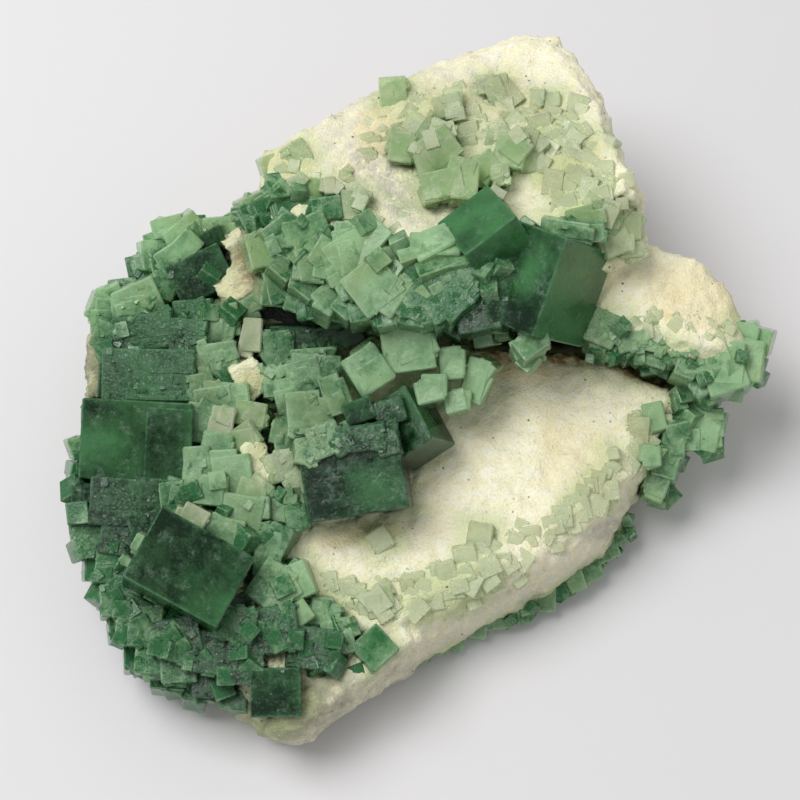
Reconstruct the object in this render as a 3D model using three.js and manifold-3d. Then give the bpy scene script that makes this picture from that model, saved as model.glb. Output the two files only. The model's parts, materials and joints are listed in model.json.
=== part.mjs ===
// Green fluorite crystals on a pale quartz matrix, a cabinet specimen about 14 cm across.
// Millimetres, +Z up. The origin is on the flat cut underside, below the middle of the specimen.
//
// The matrix is one broken block: a low front field, a raised plate that overhangs it at the back, and
// a wing at the right. Fluorite cubes grow on it in crusts, clusters and single crystals. Cubes that
// have grown together are one solid. A thin clearance keeps it off the rock and off its neighbours.
import * as THREE from "three";
import { mergeVertices } from "three/addons/utils/BufferGeometryUtils.js";
import Module from "manifold-3d";

const wasm = await Module();
wasm.setup();
const { Manifold, Mesh } = wasm;

// Driving dimensions
const CLEARANCE = 0.3; // gap between the crystals and the rock, and between neighbouring crusts
const LOOK_DOWN = 66; // degrees above the horizon of the display direction
const EYE = 445; // distance of the eye that the specimen is set out for
const FOCUS_HEIGHT = 30; // height above the underside of the point that the eye looks at
const BUMP = 1.1; // height of the broken rock's humps
const RIPPLE = 0.5; // height of the smaller humps on them
const LOWEST_CRYSTAL = 0.5; // height of the crystals' lowest point over the underside
const FIELD_HEIGHT = 24; // top of the low front field
const PLATE_HEIGHT = 52; // top of the raised plate
const WING_HEIGHT = 37.5; // top of the wing where it leaves the plate
const CRUMB = 8; // cubic millimetres; a cut-off bit of crystal smaller than this is left out

const DEGREE = Math.PI / 180;

// The display frame: across, up the display plane, and out towards the eye.
const ACROSS = new THREE.Vector3(1, 0, 0);
const UP = new THREE.Vector3(0, Math.sin(LOOK_DOWN * DEGREE), Math.cos(LOOK_DOWN * DEGREE));
const OUT = new THREE.Vector3(0, -Math.cos(LOOK_DOWN * DEGREE), Math.sin(LOOK_DOWN * DEGREE));

// The point at a given height that shows at (across, up) to the eye.
function seen(across, up, height) {
  const rise = height - FOCUS_HEIGHT;
  const slope = up / EYE;
  const y = (slope * (EYE - OUT.z * rise) - UP.z * rise) / (UP.y + OUT.y * slope);
  const distance = EYE - OUT.y * y - OUT.z * rise;
  return new THREE.Vector3((across * distance) / EYE, y, height);
}

// A repeatable stream of numbers from 0 to 1.
function dice(seed) {
  let state = seed >>> 0;
  return () => {
    state = (Math.imul(state, 1664525) + 1013904223) >>> 0;
    return state / 4294967296;
  };
}

// A number from 0 to 1 for a corner of the noise lattice.
function cornerValue(i, j, k) {
  const wave = Math.sin(i * 127.1 + j * 311.7 + k * 74.7) * 43758.5453;
  return wave - Math.floor(wave);
}

// Smooth noise from -1 to 1, with humps about one unit across.
function humps(x, y, z) {
  const cell = [x, y, z].map(Math.floor);
  const [u, v, w] = [x, y, z].map((value, axis) => {
    const t = value - cell[axis];
    return t * t * (3 - 2 * t);
  });
  let sum = 0;
  for (const a of [0, 1])
    for (const b of [0, 1])
      for (const c of [0, 1]) {
        const weight = (a ? u : 1 - u) * (b ? v : 1 - v) * (c ? w : 1 - w);
        sum += weight * cornerValue(cell[0] + a, cell[1] + b, cell[2] + c);
      }
  return 2 * sum - 1;
}

function solid(geometry) {
  const bare = geometry.clone();
  bare.deleteAttribute("normal");
  bare.deleteAttribute("uv");
  const merged = mergeVertices(bare, 1e-3);
  return new Manifold(
    new Mesh({
      numProp: 3,
      vertProperties: merged.attributes.position.array,
      triVerts: new Uint32Array(merged.index.array),
    }),
  );
}

function meshOf(manifold, name, material) {
  const { vertProperties, triVerts } = manifold.getMesh();
  const geometry = new THREE.BufferGeometry();
  geometry.setAttribute("position", new THREE.BufferAttribute(vertProperties, 3));
  geometry.setIndex(new THREE.BufferAttribute(triVerts, 1));
  const flat = geometry.toNonIndexed();
  flat.computeVertexNormals();
  const mesh = new THREE.Mesh(flat, material);
  mesh.name = name;
  return mesh;
}

const smooth = (low, high, value) => THREE.MathUtils.smoothstep(value, low, high);

// ---------------------------------------------------------------- matrix

// A lump of rock. rim is its widest outline as [x, y, height] points; each station is a smaller copy
// of the rim, [share of the rim's size, share of the way from the floor to the rim (below 1) or from
// the rim to the top (1 to 2)]. top(x, y) is the height of the upper surface. grow swells the lump.
function lump({ rim, stations, segments, floor, top, middle, rough = 1 }, grow) {
  const outline = new THREE.CatmullRomCurve3(
    rim.map(([x, y, z]) => new THREE.Vector3(x, y, z)),
    true,
    "centripetal",
  );
  // A lathe gives the closed rings; each of its vertices is then moved to its place on the rock.
  const profile = stations.map(([share], i) => new THREE.Vector2(share, i));
  const geometry = new THREE.LatheGeometry(profile, segments);
  const position = geometry.attributes.position;
  const rings = stations.length;
  for (let i = 0; i < position.count; i++) {
    const [share, level] = stations[i % rings];
    const turn = Math.floor(i / rings) % segments;
    const edge = outline.getPoint(turn / segments);
    const x = middle[0] + share * (edge.x - middle[0]);
    const y = middle[1] + share * (edge.y - middle[1]);
    const z = level <= 1 ? floor + level * (edge.z - floor) : edge.z + (level - 1) * (top(x, y) - edge.z);
    const lift = (humps(x / 13, y / 13, z / 13) * BUMP + humps(x / 5, y / 5, z / 5) * RIPPLE) * rough;
    const flank = share > 0 && level > 0 && level < 1.7;
    const outward = share > 0 ? (flank ? lift : 0) + grow : 0;
    const upward = level > 1 ? lift + grow : level < 0.5 ? -grow : 0;
    const radius = Math.hypot(x - middle[0], y - middle[1]) || 1;
    position.setXYZ(
      i,
      x + (outward * (x - middle[0])) / radius,
      y + (outward * (y - middle[1])) / radius,
      z + upward,
    );
  }
  return solid(geometry);
}

const BASE = {
  rim: [
    [-28, -63, 7], [-20, -62, 7], [-13, -59, 7], [-2, -52, 7], [9, -44, 6], [23, -37, 5],
    [35, -30, 5], [45, -20, 8], [52, -10, 10], [60, 0, 12], [63, 10, 14], [60, 24, 15],
    [54, 38, 15], [50, 54, 14], [40, 68, 14], [26, 73, 13], [10, 67, 13], [-4, 60, 14],
    [-18, 52, 15], [-32, 45, 17], [-44, 40, 18], [-54, 34, 17], [-60, 24, 16], [-61, 10, 15],
    [-62, -6, 14], [-61, -18, 13], [-57, -32, 12], [-50, -43, 12], [-42, -50, 11], [-34, -57, 9],
  ],
  stations: [
    [0, 0], [0.86, 0], [0.95, 0.3], [1, 1], [0.98, 1.45], [0.93, 1.85], [0.86, 2], [0.5, 2],
    [0, 2],
  ],
  segments: 32,
  floor: 0,
  middle: [-2, -2],
  // The front field is low, and the rock lies deeper under the dark crust at the left.
  top: (x, y) => FIELD_HEIGHT + 3 * (1 - smooth(-30, -8, x)) - 4 * (1 - smooth(-62, -30, y)),
};
const PLATE = {
  rim: [
    [-27, 30, 41], [-21, 25, 41], [-13, 20, 41], [-5, 17, 41], [4, 16, 42], [12, 13, 42],
    [20, 12, 42], [26, 13, 43], [30, 18, 43], [34, 25, 43], [40, 31, 42], [48, 33, 41],
    [49, 38, 41], [44, 48, 43], [43, 56, 43], [38, 66, 43], [32, 76, 42], [24, 76, 42],
    [16, 73, 43], [5, 67, 44], [-5, 63, 44], [-14, 56, 44], [-21, 52, 43], [-27, 48, 43],
    [-28, 41, 43], [-31, 35, 42],
  ],
  stations: [
    [0, 0], [0.86, 0.2], [1, 1], [0.97, 1.6], [0.89, 2], [0.5, 2], [0, 2],
  ],
  segments: 28,
  floor: 34,
  middle: [12, 40],
  // Highest along the middle, and lower at the peak behind.
  top: (x, y) => PLATE_HEIGHT - 4 * smooth(40, 76, y) + 1.5 * smooth(20, 45, x),
};
const WING = {
  rim: [
    [40, 36, 33], [33, 24, 33], [38, 14, 32], [46, 11, 30], [54, 8, 29], [64, 6, 28], [70, 8, 28],
    [70, 14, 28], [68, 20, 29], [65, 26, 30], [60, 30, 30], [50, 32, 32],
  ],
  stations: [[0, 0], [0.7, 0], [0.92, 0.4], [1, 1], [0.95, 1.7], [0.8, 2], [0, 2]],
  segments: 18,
  floor: 26.5,
  middle: [52, 20],
  rough: 0.7,
  top: (x) => WING_HEIGHT - 3 * smooth(50, 74, x),
};
// The neck joins the plate to the base: set back at the front, and a broken cliff at the back.
const NECK = {
  rim: [
    [-26, 36, 28], [-14, 31, 28], [0, 26, 28], [14, 22, 28], [28, 20, 28], [42, 22, 28],
    [50, 30, 28], [46, 42, 28], [42, 55, 28], [33, 68, 28], [22, 69, 28], [8, 63, 28],
    [-6, 57, 28], [-18, 49, 28], [-26, 43, 28],
  ],
  stations: [[0, 0], [0.9, 0], [0.97, 0.5], [1, 1], [0.96, 1.5], [1, 2], [0, 2]],
  segments: 18,
  floor: 8,
  middle: [14, 42],
  top: () => 45,
};
// The ridge along the broken foot.
const FOOT = {
  rim: [
    [-27, -64, 14], [-24, -66, 14], [-19, -65, 15], [-11, -59, 15], [-2, -52, 15], [5, -46, 16],
    [2, -43, 17], [-8, -49, 17], [-17, -55, 17], [-23, -60, 16],
  ],
  stations: [[0, 0], [0.8, 0], [1, 1], [0.92, 1.7], [0.7, 2], [0, 2]],
  segments: 16,
  floor: 6,
  middle: [-13, -56],
  top: () => 21.5,
};
// Blocks of the rock that stand up among the crystals, as rows like the cubes below.
const KNOBS = [
  [-29.8, 4, 33.8, 6, 8, 12, 8, 10, 30], // in the pale vein
  [-28, -12.4, 32.8, 5, 9, 12, -10, 12, 26],
  [-32.8, 22.6, 33.8, 8.4, 7, 14, 14, -8, 38], // at the vein's upper end
  [-31.2, 28, 34.6, 5, 9, 16, 16, 10, 24],
  [-60.4, 6.4, 29.2, 4, 13, 14, 0, 8, -2], // the left rim
];
// Blocks that have broken out of it under the lip of the plate: the dark recess at the left and the
// gap along the back of the field.
const HOLLOWS = [
  [-20, 19, 44, 15, 9, 32, 0, 0, -28],
  [-8, 15.4, 44, 14, 4, 30, 0, 0, -8],
  [14, 12.4, 34, 18, 5.2, 20, 0, 0, -3],
  [30, 11.8, 34, 17, 5.2, 20, 0, 0, -3],
  [43, 9.6, 34, 13, 5, 20, 0, 0, -12],
  [54, 5.2, 34, 14, 5, 20, 0, 0, -30],
];

// ---------------------------------------------------------------- crystals

// A cube is set out by the middle of the face that looks at the eye:
// [across, up, height, width, length, depth, tip, swing, spin]. tip turns its lower side towards the
// eye when negative, swing its right side when negative, and spin is the turn of the face, in degrees.
const LEFT_CRUST = [
  [-53, -8.2, 36, 21.6, 15.8, 17, 0, 1, -3], // the broad cube at the left edge
  [-43.9, -8.8, 35.5, 4.4, 14.2, 14, 0, 3, -4],
  [-42.2, -33.4, 38, 20.4, 15.4, 15, -12, 8, -28], // the tilted cube below it
  [-50.4, 5, 35, 18.6, 10.4, 15, 2, 1, -1], // the plate-like cubes above it
  [-57.6, 5, 33.6, 5.6, 9.4, 12, 2, 8, -3],
  [-51.6, 13.4, 34.4, 12, 7, 12, 4, 0, 6],
  [-42.6, 12.8, 34.6, 7.4, 7, 10, 2, -2, -4],
  [-40, 25, 34, 12, 9, 12, 6, 2, 26], // the crest at the upper left
  [-43, 32.4, 31, 8, 5.4, 8, 6, 4, 20],
  [-44.4, 29, 33, 9, 5.6, 9, 8, 6, 32],
  [-52.4, 19.6, 31.5, 9.4, 7.6, 11, 8, 2, 24],
  [-57.8, 17.2, 28.6, 6.6, 6.6, 11, 4, 8, -2],
  [-55, -20.6, 33, 14, 9.4, 13, 0, 3, -4], // between the two broad cubes
  [-62.8, -21, 30.5, 6, 8.6, 12, -4, 10, -3],
  [-56, -27.6, 30, 8, 7, 11, -4, 4, -8],
  [-61.4, -28, 27.5, 7.4, 6.6, 11, -6, 12, 10], // steps down the lower left flank
  [-57.6, -34, 27, 7, 6, 10, -8, 8, -12],
  [-56.2, -40, 25.6, 7.6, 6.4, 10, -10, 8, 4],
  [-52.2, -45.2, 25.6, 9, 8, 10, -10, 6, -6],
  [-49.2, -51.6, 23, 7.6, 6.4, 10, -12, 4, -4],
  [-44.4, -53.4, 23, 7, 6, 10, -12, 2, 4],
  [-38, -56.8, 20.4, 7.4, 5, 10, -12, 0, 4],
  [-44.6, -47.4, 28, 9, 7.4, 10, -8, 3, 12], // the rough crust below the tilted cube
  [-38.4, -50.4, 26.4, 9.4, 8, 11, -8, 2, -6],
  [-33, -44.8, 30, 8, 7, 10, -8, 2, -12],
  [-31, -52.4, 26.6, 7, 9, 10, -6, 2, -4],
  [-25.6, -46, 28.4, 10, 9, 10, -6, -2, 8],
  [-17.6, -49.8, 26, 10, 8, 9, -8, -2, -6],
  [-26.6, -31, 31, 5.4, 9, 9, -2, -4, -4],
  [-26, -37, 30, 7, 9, 9, -4, -4, -36],
  [-21.6, -36.6, 29.6, 7.4, 7, 8, -4, -6, 22],
  [-12.4, -47.4, 25, 6, 7, 8, -8, 0, 12],
];
const VEIN = [
  [-36.4, 7, 34.4, 8, 9, 9, 2, 0, 8],
  [-36.4, 15, 34.4, 7, 7, 9, 3, -1, -10],
  [-35.4, 0.6, 34.4, 8.4, 6, 9, 0, 2, -6],
  [-33.6, -15.4, 34, 8, 8.4, 8, 0, -1, 8],
  [-39, -18, 35, 7.4, 6, 8, -1, 1, -6],
  [-31.8, -22.6, 33, 8.4, 7, 8, -1, -2, -10],
  [-34.6, -26.8, 33.8, 9, 5, 8, -2, 0, -30],
  [-24.4, -21.4, 31.8, 7.4, 6, 8, -1, -3, -8],
  [-32, -9.2, 34, 6.4, 6.4, 7, 0, 0, 12],
];
const CENTRE = [
  [-9.6, -14.2, 39.4, 19.8, 17.2, 14, -3, -4, 9], // the broad cube over the field
  [-0.6, -5, 38, 10.4, 12.4, 12, -8, -24, 29], // the cube behind its right corner
  [-7, -6.8, 40.4, 7.4, 5, 10, -3, -2, 4],
  [-2, -2.2, 41, 6, 5, 9, -8, -2, 16],
  [-6.4, 6, 43, 7.6, 8.4, 10, -2, 4, 32], // the paler cubes above it
  [1.6, 10, 43.4, 10.2, 8.6, 10, 3, -4, 8],
  [10.1, 7.4, 41, 4.8, 6.6, 9, 2, -8, 6],
  [15, 4.2, 38.4, 4.8, 8.4, 10, 2, -10, -16],
  [5.8, 1.8, 41.2, 5.6, 4.6, 8, -8, -4, 14],
  [-14.4, -7.6, 40, 7.4, 6, 10, -3, -2, 6],
  [-17, 4.6, 36, 10, 9, 9, 2, 2, -4],
  [-17.6, -3.6, 36.6, 9, 8.4, 9, 0, 3, -6],
  [-21.4, 11.4, 32.4, 10, 6.6, 9, 6, 0, -2],
  [-13.6, 12.6, 34, 6.4, 5, 8, 8, 0, 12],
  [-22.4, -7.6, 33.6, 6, 7, 8, 0, -1, 8], // between the centre and the vein
  [-24, 3.4, 33.6, 7, 6, 8, 2, 0, -14],
  [-24.6, 10.4, 33.4, 6, 7, 8, 3, 0, 6],
  [-22, 19, 27, 13, 9, 8, 0, 0, -12], // in the recess under the lip
  [-16, 16.6, 28, 9, 7, 8, 4, 0, 20],
];
const UPPER_CLUSTER = [
  [35, 21.2, 48, 21, 20, 13, 33, 52, -32], // the largest cube
  [15.2, 36.2, 59, 12.4, 12.4, 11, -39, -26, 28], // the broad cube behind it
  [19, 29.6, 55.4, 9.6, 8.4, 12, -14, 4, 10],
  [15.4, 18, 50, 8.6, 8.2, 11, -6, -6, 10],
  [20.6, 21, 52, 7, 10, 12, 2, 6, 8],
  [26.2, 11.4, 47.6, 6, 4.6, 9, -14, 2, 36],
  [33, 34.2, 55.6, 9.6, 3.4, 8, 10, -6, -8],
  [-5.4, 23, 53.8, 9.4, 9.4, 12, -5, 2, 38], // the green crust over the lip
  [-8.6, 29.6, 54.4, 11, 9, 12, -2, 2, 34],
  [-10.6, 24.4, 52.4, 6, 7.4, 11, -6, 4, 30],
  [-14, 28, 53.4, 6, 7.4, 11, -3, 3, -8],
  [-18, 33.4, 54, 8, 7, 12, 0, 4, 24],
  [-17, 27.6, 52.4, 7, 6.4, 11, -4, 4, 12],
  [-22.6, 32.6, 52.6, 7, 8.4, 12, -2, 8, 38],
  [-22, 39.6, 52.4, 7.4, 8.4, 10, 4, 6, 16],
  [-26, 38.6, 50, 6, 6, 8, 4, 10, 30],
  [4, 24, 53.4, 8, 8, 11, -4, -2, 22],
  [10, 24.4, 54, 8.4, 7.4, 11, -6, -6, -14],
  [2.6, 19.4, 52, 7, 6, 10, -8, 0, -20],
  [9, 19.6, 52.6, 8, 6, 10, -10, -4, 30],
  [4.6, 31.6, 57, 11, 5, 9, -24, -8, 20],
];
const SUMMIT = [
  [22.2, 50.4, 57, 6.4, 7.6, 9, -6, -4, -12], // the cube at the right
  [5.4, 52.4, 56, 8, 6, 8, 3, 3, -12],
  [7, 48.4, 56.8, 8, 8, 8, 3, 3, 18],
  [8.6, 43.4, 57.4, 8.4, 5.6, 8, -4, 0, 12],
  [12, 45.2, 57.6, 5.6, 7, 8, -4, 0, -16],
  [17, 47, 56, 5.6, 4.6, 7, 3, 0, 38],
  [26.6, 49.6, 55, 4.6, 7.6, 7, 3, 6, 4],
];
const SHOULDER = [
  [41.6, 37, 53, 6, 5.4, 11, 8, 14, -8],
  [45.6, 35, 50, 6.6, 5.6, 10, 6, 20, -4],
  [43.6, 31.6, 49.5, 6, 5, 10, -4, 12, 22],
];
const WING_FRINGE = [
  [40.8, 14.4, 37.4, 6.4, 7, 10, -4, -4, -24],
  [46, 12.8, 36.4, 6.4, 5.6, 9, -4, -2, 20],
  [51, 12.6, 36, 6, 6, 9, -2, 0, -14],
  [55.6, 12.2, 35.4, 5.6, 6, 9, -2, 0, 24],
  [52.6, 8.4, 33.6, 7, 4.6, 9, -12, 0, -8],
  [46.6, 10.6, 34.8, 5.6, 4.6, 9, -14, 0, 34],
  [41, 10.8, 35.4, 6, 4.6, 9, -14, -2, -16],
  [58.8, 8.6, 34, 6.6, 7, 9, -6, -2, 4],
  [64.4, 7.6, 34, 9.2, 8.8, 10, -4, -6, -4], // the broad cube at the wing's end
  [69.6, 8, 32.6, 6.4, 8.4, 10, -4, -12, -8],
  [60.6, 4, 31, 5.6, 5, 9, -12, -4, 20],
  [69.4, 13.4, 33.6, 5, 3.4, 8, 6, -10, -10],
];
const RIGHT_RIM = [
  [60.2, -5.8, 21.4, 8, 8.2, 12, -4, -8, -14],
  [57.2, -1.8, 22.4, 6, 6, 10, 0, -6, 20],
  [54.6, -8, 22, 4.4, 8, 11, -4, -6, -10],
  [53.2, -13, 19.6, 5, 5, 10, -6, -8, -16],
  [51.6, -16.6, 16.6, 4.6, 5.6, 10, -8, -8, -20],
];
// Crystals that stand by themselves on the rock.
const SINGLES = {
  foot_crystal: [-25, -58.6, 25, 9.8, 9.4, 14, -4, -2, 1], // the dark cube beside the broken foot
  corner_crystal: [-5, -49.6, 24, 7, 7, 8, -16, 6, 43],
  field_crystal: [16, -27, 25.4, 5, 4.6, 6, 2, -2, -9],
  field_left_crystal: [-4, -28, 25.8, 4.4, 4.6, 6, 2, 3, 34],
  field_white_crystal: [42.8, -10.8, 26, 2.4, 2.4, 5, 4, -3, 8],
  lower_field_crystal: [-4, -40.6, 24.2, 5.8, 5.8, 7, -2, 0, 14],
  left_lip_crystal: [-28, 30.2, 47.5, 5, 7.2, 9, -4, 10, 15],
  left_end_crystal: [-28.4, 38, 48, 6, 6.6, 8, 4, 14, 25],
  left_edge_crystal: [-25.8, 47, 48, 4, 4.4, 7, 4, 10, 18],
  plate_left_crystal: [-17.4, 42.4, 53, 4.4, 4.2, 6, 4, 2, -2],
  plate_middle_crystal: [-9.4, 39, 54.4, 5, 6, 6, 2, 0, -3],
  left_yellow_crystal: [-20.6, 49, 52.3, 5.4, 5.4, 7, 8, 4, 32],
  white_crystal: [-14, 43, 55.6, 2.4, 3.6, 6, -4, 2, 4],
  back_edge_crystal: [-1.4, 61.6, 51.8, 5.6, 6.4, 8, 8, 0, 4],
  back_small_crystal: [9.6, 59, 54.2, 5.8, 4.6, 6, 4, 0, 16],
  back_yellow_crystal: [19.6, 62.6, 52.8, 4.8, 5.4, 6, 4, 0, 9],
  peak_crystal: [29.8, 60.2, 52.8, 4.8, 3.2, 6, 2, 0, 4],
  right_edge_crystal: [40.4, 51, 53, 4.6, 5, 8, 0, -14, -24], // over the plate's right edge
};

// The point at a share of the way along a line of points.
function along(line, share) {
  const place = share * (line.length - 1);
  const first = Math.min(Math.floor(place), line.length - 2);
  return line[first].map((value, axis) => value + (line[first + 1][axis] - value) * (place - first));
}

// A run of small cubes that overlap along a line of [across, up, height] points. spread is how far
// they stray from it, and tilt how far each may tip, swing and spin.
function run({ line, count, size, depth, tilt, seed, spread = 0.8 }) {
  const next = dice(seed);
  const either = (range) => (2 * next() - 1) * range;
  return Array.from({ length: count }, (_, i) => {
    const [across, up, height] = along(line, (i + 0.5) / count);
    const side = size[0] + (size[1] - size[0]) * next();
    return [
      across + either(spread), up + either(spread), height + either(spread),
      side, side * (0.85 + 0.3 * next()), depth,
      either(tilt[0]), either(tilt[1]), either(tilt[2]),
    ];
  });
}

// The left, lower left and back left flanks.
const LOWER_RUNS = [
  {
    line: [[-56, 16, 20], [-57, 6, 20], [-58.5, -9, 20], [-58.5, -21, 18], [-56, -31, 17]],
    count: 8, size: [7.5, 9], depth: 13, tilt: [8, 12, 30], seed: 11,
  },
  {
    line: [[-56, -36, 15], [-51, -45, 14.5], [-44, -51.5, 13.5], [-37, -54.5, 13], [-30, -57, 13]],
    count: 7, size: [7.5, 8.5], depth: 12, tilt: [10, 8, 20], seed: 23,
  },
  {
    line: [[-56, 19, 21], [-49, 27, 23], [-44, 30, 25], [-37, 31, 27]],
    count: 5, size: [7, 8.5], depth: 13, tilt: [10, 10, 30], seed: 37,
  },
].flatMap(run);
// Under the lip of the plate, from the recess to the largest cube.
const LIP_RUN = run({
  line: [[-27, 24, 44], [-18, 21, 44], [-9, 18, 44], [0, 18, 45], [9, 17, 45], [18, 16.4, 45], [27, 16, 45]],
  count: 9, size: [6, 7.4], depth: 9, tilt: [14, 8, 40], seed: 71,
});
const UNDERSIDE_FRINGE = run({
  line: [[1, -52, 6], [8, -48.5, 6], [19, -43.5, 6], [29.5, -38.5, 6.5], [38, -32, 7.5], [45, -24, 9]],
  count: 11, size: [5.4, 7], depth: 8, tilt: [10, 10, 30], seed: 41,
});

// The faces of every crystal are flat, so each one is a box turned to face the eye and then tipped.
function cube([across, up, height, width, length, depth, tip, swing, spin], grow = 0) {
  const box = new THREE.BoxGeometry(width + 2 * grow, length + 2 * grow, depth + 2 * grow);
  box.translate(0, 0, -depth / 2);
  const turned = new THREE.Matrix4()
    .makeBasis(ACROSS, UP, OUT)
    .multiply(new THREE.Matrix4().makeRotationX(tip * DEGREE))
    .multiply(new THREE.Matrix4().makeRotationY(swing * DEGREE))
    .multiply(new THREE.Matrix4().makeRotationZ(spin * DEGREE));
  box.applyMatrix4(turned.setPosition(seen(across, up, height)));
  return solid(box);
}

const joined = (rows, grow) => rows.map((row) => cube(row, grow)).reduce((a, b) => a.add(b));
const rock = (grow) =>
  [BASE, PLATE, WING, NECK, FOOT]
    .map((shape) => lump(shape, grow))
    .reduce((a, b) => a.add(b))
    .add(joined(KNOBS, grow))
    .subtract(joined(HOLLOWS, -grow));

// Each crust is one solid where its cubes overlap. A crust that comes in more than one piece gives
// one node for each, numbered from the largest.
const CRUSTS = {
  lower_crust: [...LEFT_CRUST, ...VEIN, ...LOWER_RUNS],
  centre_cluster: CENTRE,
  upper_cluster: [...UPPER_CLUSTER, ...LIP_RUN],
  summit_crystals: SUMMIT,
  shoulder_crystals: SHOULDER,
  wing_fringe: WING_FRINGE,
  right_rim_crystals: RIGHT_RIM,
  underside_fringe: UNDERSIDE_FRINGE,
};
for (const [name, row] of Object.entries(SINGLES)) CRUSTS[name] = [row];

const finish = (color, roughness) => new THREE.MeshStandardMaterial({ color, roughness, metalness: 0 });
const MATRIX = finish(0xe2dcc0, 0.85);
const DEEP = finish(0x3f7554, 0.3);
const GREEN = finish(0x6f9f7a, 0.3);
const PALE = finish(0xa3c3a0, 0.35);
const TINTS = {
  lower_crust: DEEP, centre_cluster: DEEP, upper_cluster: DEEP, wing_fringe: GREEN, right_rim_crystals: GREEN,
  underside_fringe: GREEN, corner_crystal: GREEN, foot_crystal: DEEP,
};

const specimen = new THREE.Group();
specimen.add(meshOf(rock(0), "matrix", MATRIX));
// The crystals are cut off where they meet the rock, the ground plane and the crusts already made.
const underground = new THREE.BoxGeometry(300, 300, 40).translate(0, 0, LOWEST_CRYSTAL - 20);
let taken = rock(CLEARANCE).add(solid(underground));
for (const [name, rows] of Object.entries(CRUSTS)) {
  const pieces = joined(rows, 0).subtract(taken).decompose();
  const kept = pieces.filter((piece) => piece.volume() > CRUMB).sort((a, b) => b.volume() - a.volume());
  kept.forEach((piece, i) => {
    specimen.add(meshOf(piece, i ? `${name}_${i + 1}` : name, TINTS[name] ?? PALE));
  });
  taken = taken.add(joined(rows, CLEARANCE));
}

export default specimen;
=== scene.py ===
"""A fluorite cluster: green cubes on a pale quartz matrix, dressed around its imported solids.

The classes hold their sizes in millimetres. Meshes are written in metres, in the frame of the solids.
"""

from __future__ import annotations

import json
import logging
import math
from bisect import bisect
from collections.abc import Iterable
from dataclasses import dataclass
from enum import Enum
from functools import cached_property

import bmesh
import bpy
from mathutils import Matrix, Vector, noise
from mathutils.bvhtree import BVHTree

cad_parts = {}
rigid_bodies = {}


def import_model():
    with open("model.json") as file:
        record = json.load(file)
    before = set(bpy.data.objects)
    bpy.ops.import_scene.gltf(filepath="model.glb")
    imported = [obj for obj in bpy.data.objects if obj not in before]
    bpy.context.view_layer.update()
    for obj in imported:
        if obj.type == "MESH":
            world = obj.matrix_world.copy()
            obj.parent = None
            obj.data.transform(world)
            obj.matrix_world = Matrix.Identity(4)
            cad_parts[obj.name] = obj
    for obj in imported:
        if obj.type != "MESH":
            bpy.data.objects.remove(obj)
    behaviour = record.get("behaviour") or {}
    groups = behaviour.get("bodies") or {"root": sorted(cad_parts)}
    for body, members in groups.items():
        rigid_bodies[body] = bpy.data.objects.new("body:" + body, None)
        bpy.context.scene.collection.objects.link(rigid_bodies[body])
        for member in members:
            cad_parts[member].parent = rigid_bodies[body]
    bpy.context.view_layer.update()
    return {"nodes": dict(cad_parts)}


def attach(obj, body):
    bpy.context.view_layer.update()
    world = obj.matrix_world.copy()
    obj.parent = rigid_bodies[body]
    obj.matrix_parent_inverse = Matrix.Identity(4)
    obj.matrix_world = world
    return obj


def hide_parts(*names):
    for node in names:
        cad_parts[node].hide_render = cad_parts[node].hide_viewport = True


LOG = logging.getLogger("fluorite")
MM = 0.001
BODY = "root"

# The crystals are cut off at this height.
LOWEST_CRYSTAL = 0.5
# A place that is on no face.
NOWHERE = (9.0, 9.0)
# A cube that spins this far either way, in degrees, may lie in any direction.
ANY_SPIN = 45.0
SEEDS_APART = 1000
GOLDEN_TURN = math.pi * (3.0 - math.sqrt(5.0))

Colour = tuple[float, float, float]
Pair = tuple[float, float]
Triple = tuple[float, float, float]


# ------------------------------------------------------------------ setting out


@dataclass(frozen=True)
class Eye:
    """The display direction that the specimen is set out for.

    A place on the specimen is given as (across, up) in the display plane through the focus, with a
    height above the underside.
    """

    look_down: float = 66.0
    distance: float = 445.0
    focus_height: float = 30.0

    @cached_property
    def focus(self) -> Vector:
        """The point that the eye looks at."""
        return Vector((0.0, 0.0, self.focus_height))

    @cached_property
    def axes(self) -> Matrix:
        """Columns: across, up the display plane, and out towards the eye."""
        angle = math.radians(self.look_down)
        up = Vector((0.0, math.sin(angle), math.cos(angle)))
        out = Vector((0.0, -math.cos(angle), math.sin(angle)))
        return Matrix((Vector((1.0, 0.0, 0.0)), up, out)).transposed()

    @cached_property
    def up(self) -> Vector:
        """The direction up the display plane."""
        return self.axes.col[1].copy()

    @cached_property
    def out(self) -> Vector:
        """The direction towards the eye."""
        return self.axes.col[2].copy()

    @cached_property
    def place(self) -> Vector:
        """Where the eye is."""
        return self.focus + self.out * self.distance

    def seen(self, across: float, up: float, height: float) -> Vector:
        """Finds the point at a height that shows at (across, up).

        Args:
            across: Distance to the right in the display plane.
            up: Distance up the display plane.
            height: Height of the point above the underside.

        Returns:
            The point, in millimetres.
        """
        rise = height - self.focus_height
        slope = up / self.distance
        y = slope * (self.distance - self.out.z * rise) - self.up.z * rise
        y /= self.up.y + self.out.y * slope
        away = self.distance - self.out.y * y - self.out.z * rise
        return Vector((across * away / self.distance, y, height))

    def shows(self, point: Vector) -> Pair:
        """Finds where a point shows in the display plane.

        Args:
            point: A point, in millimetres.

        Returns:
            Its (across, up).
        """
        arm = point - self.focus
        scale = self.distance / (self.distance - arm.dot(self.out))
        return arm.x * scale, arm.dot(self.up) * scale

    def toward(self, across: float, up: float) -> Vector:
        """The direction from the eye through (across, up)."""
        aim = self.focus + Vector((across, 0.0, 0.0)) + self.up * up
        return (aim - self.place).normalized()


EYE = Eye()


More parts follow.
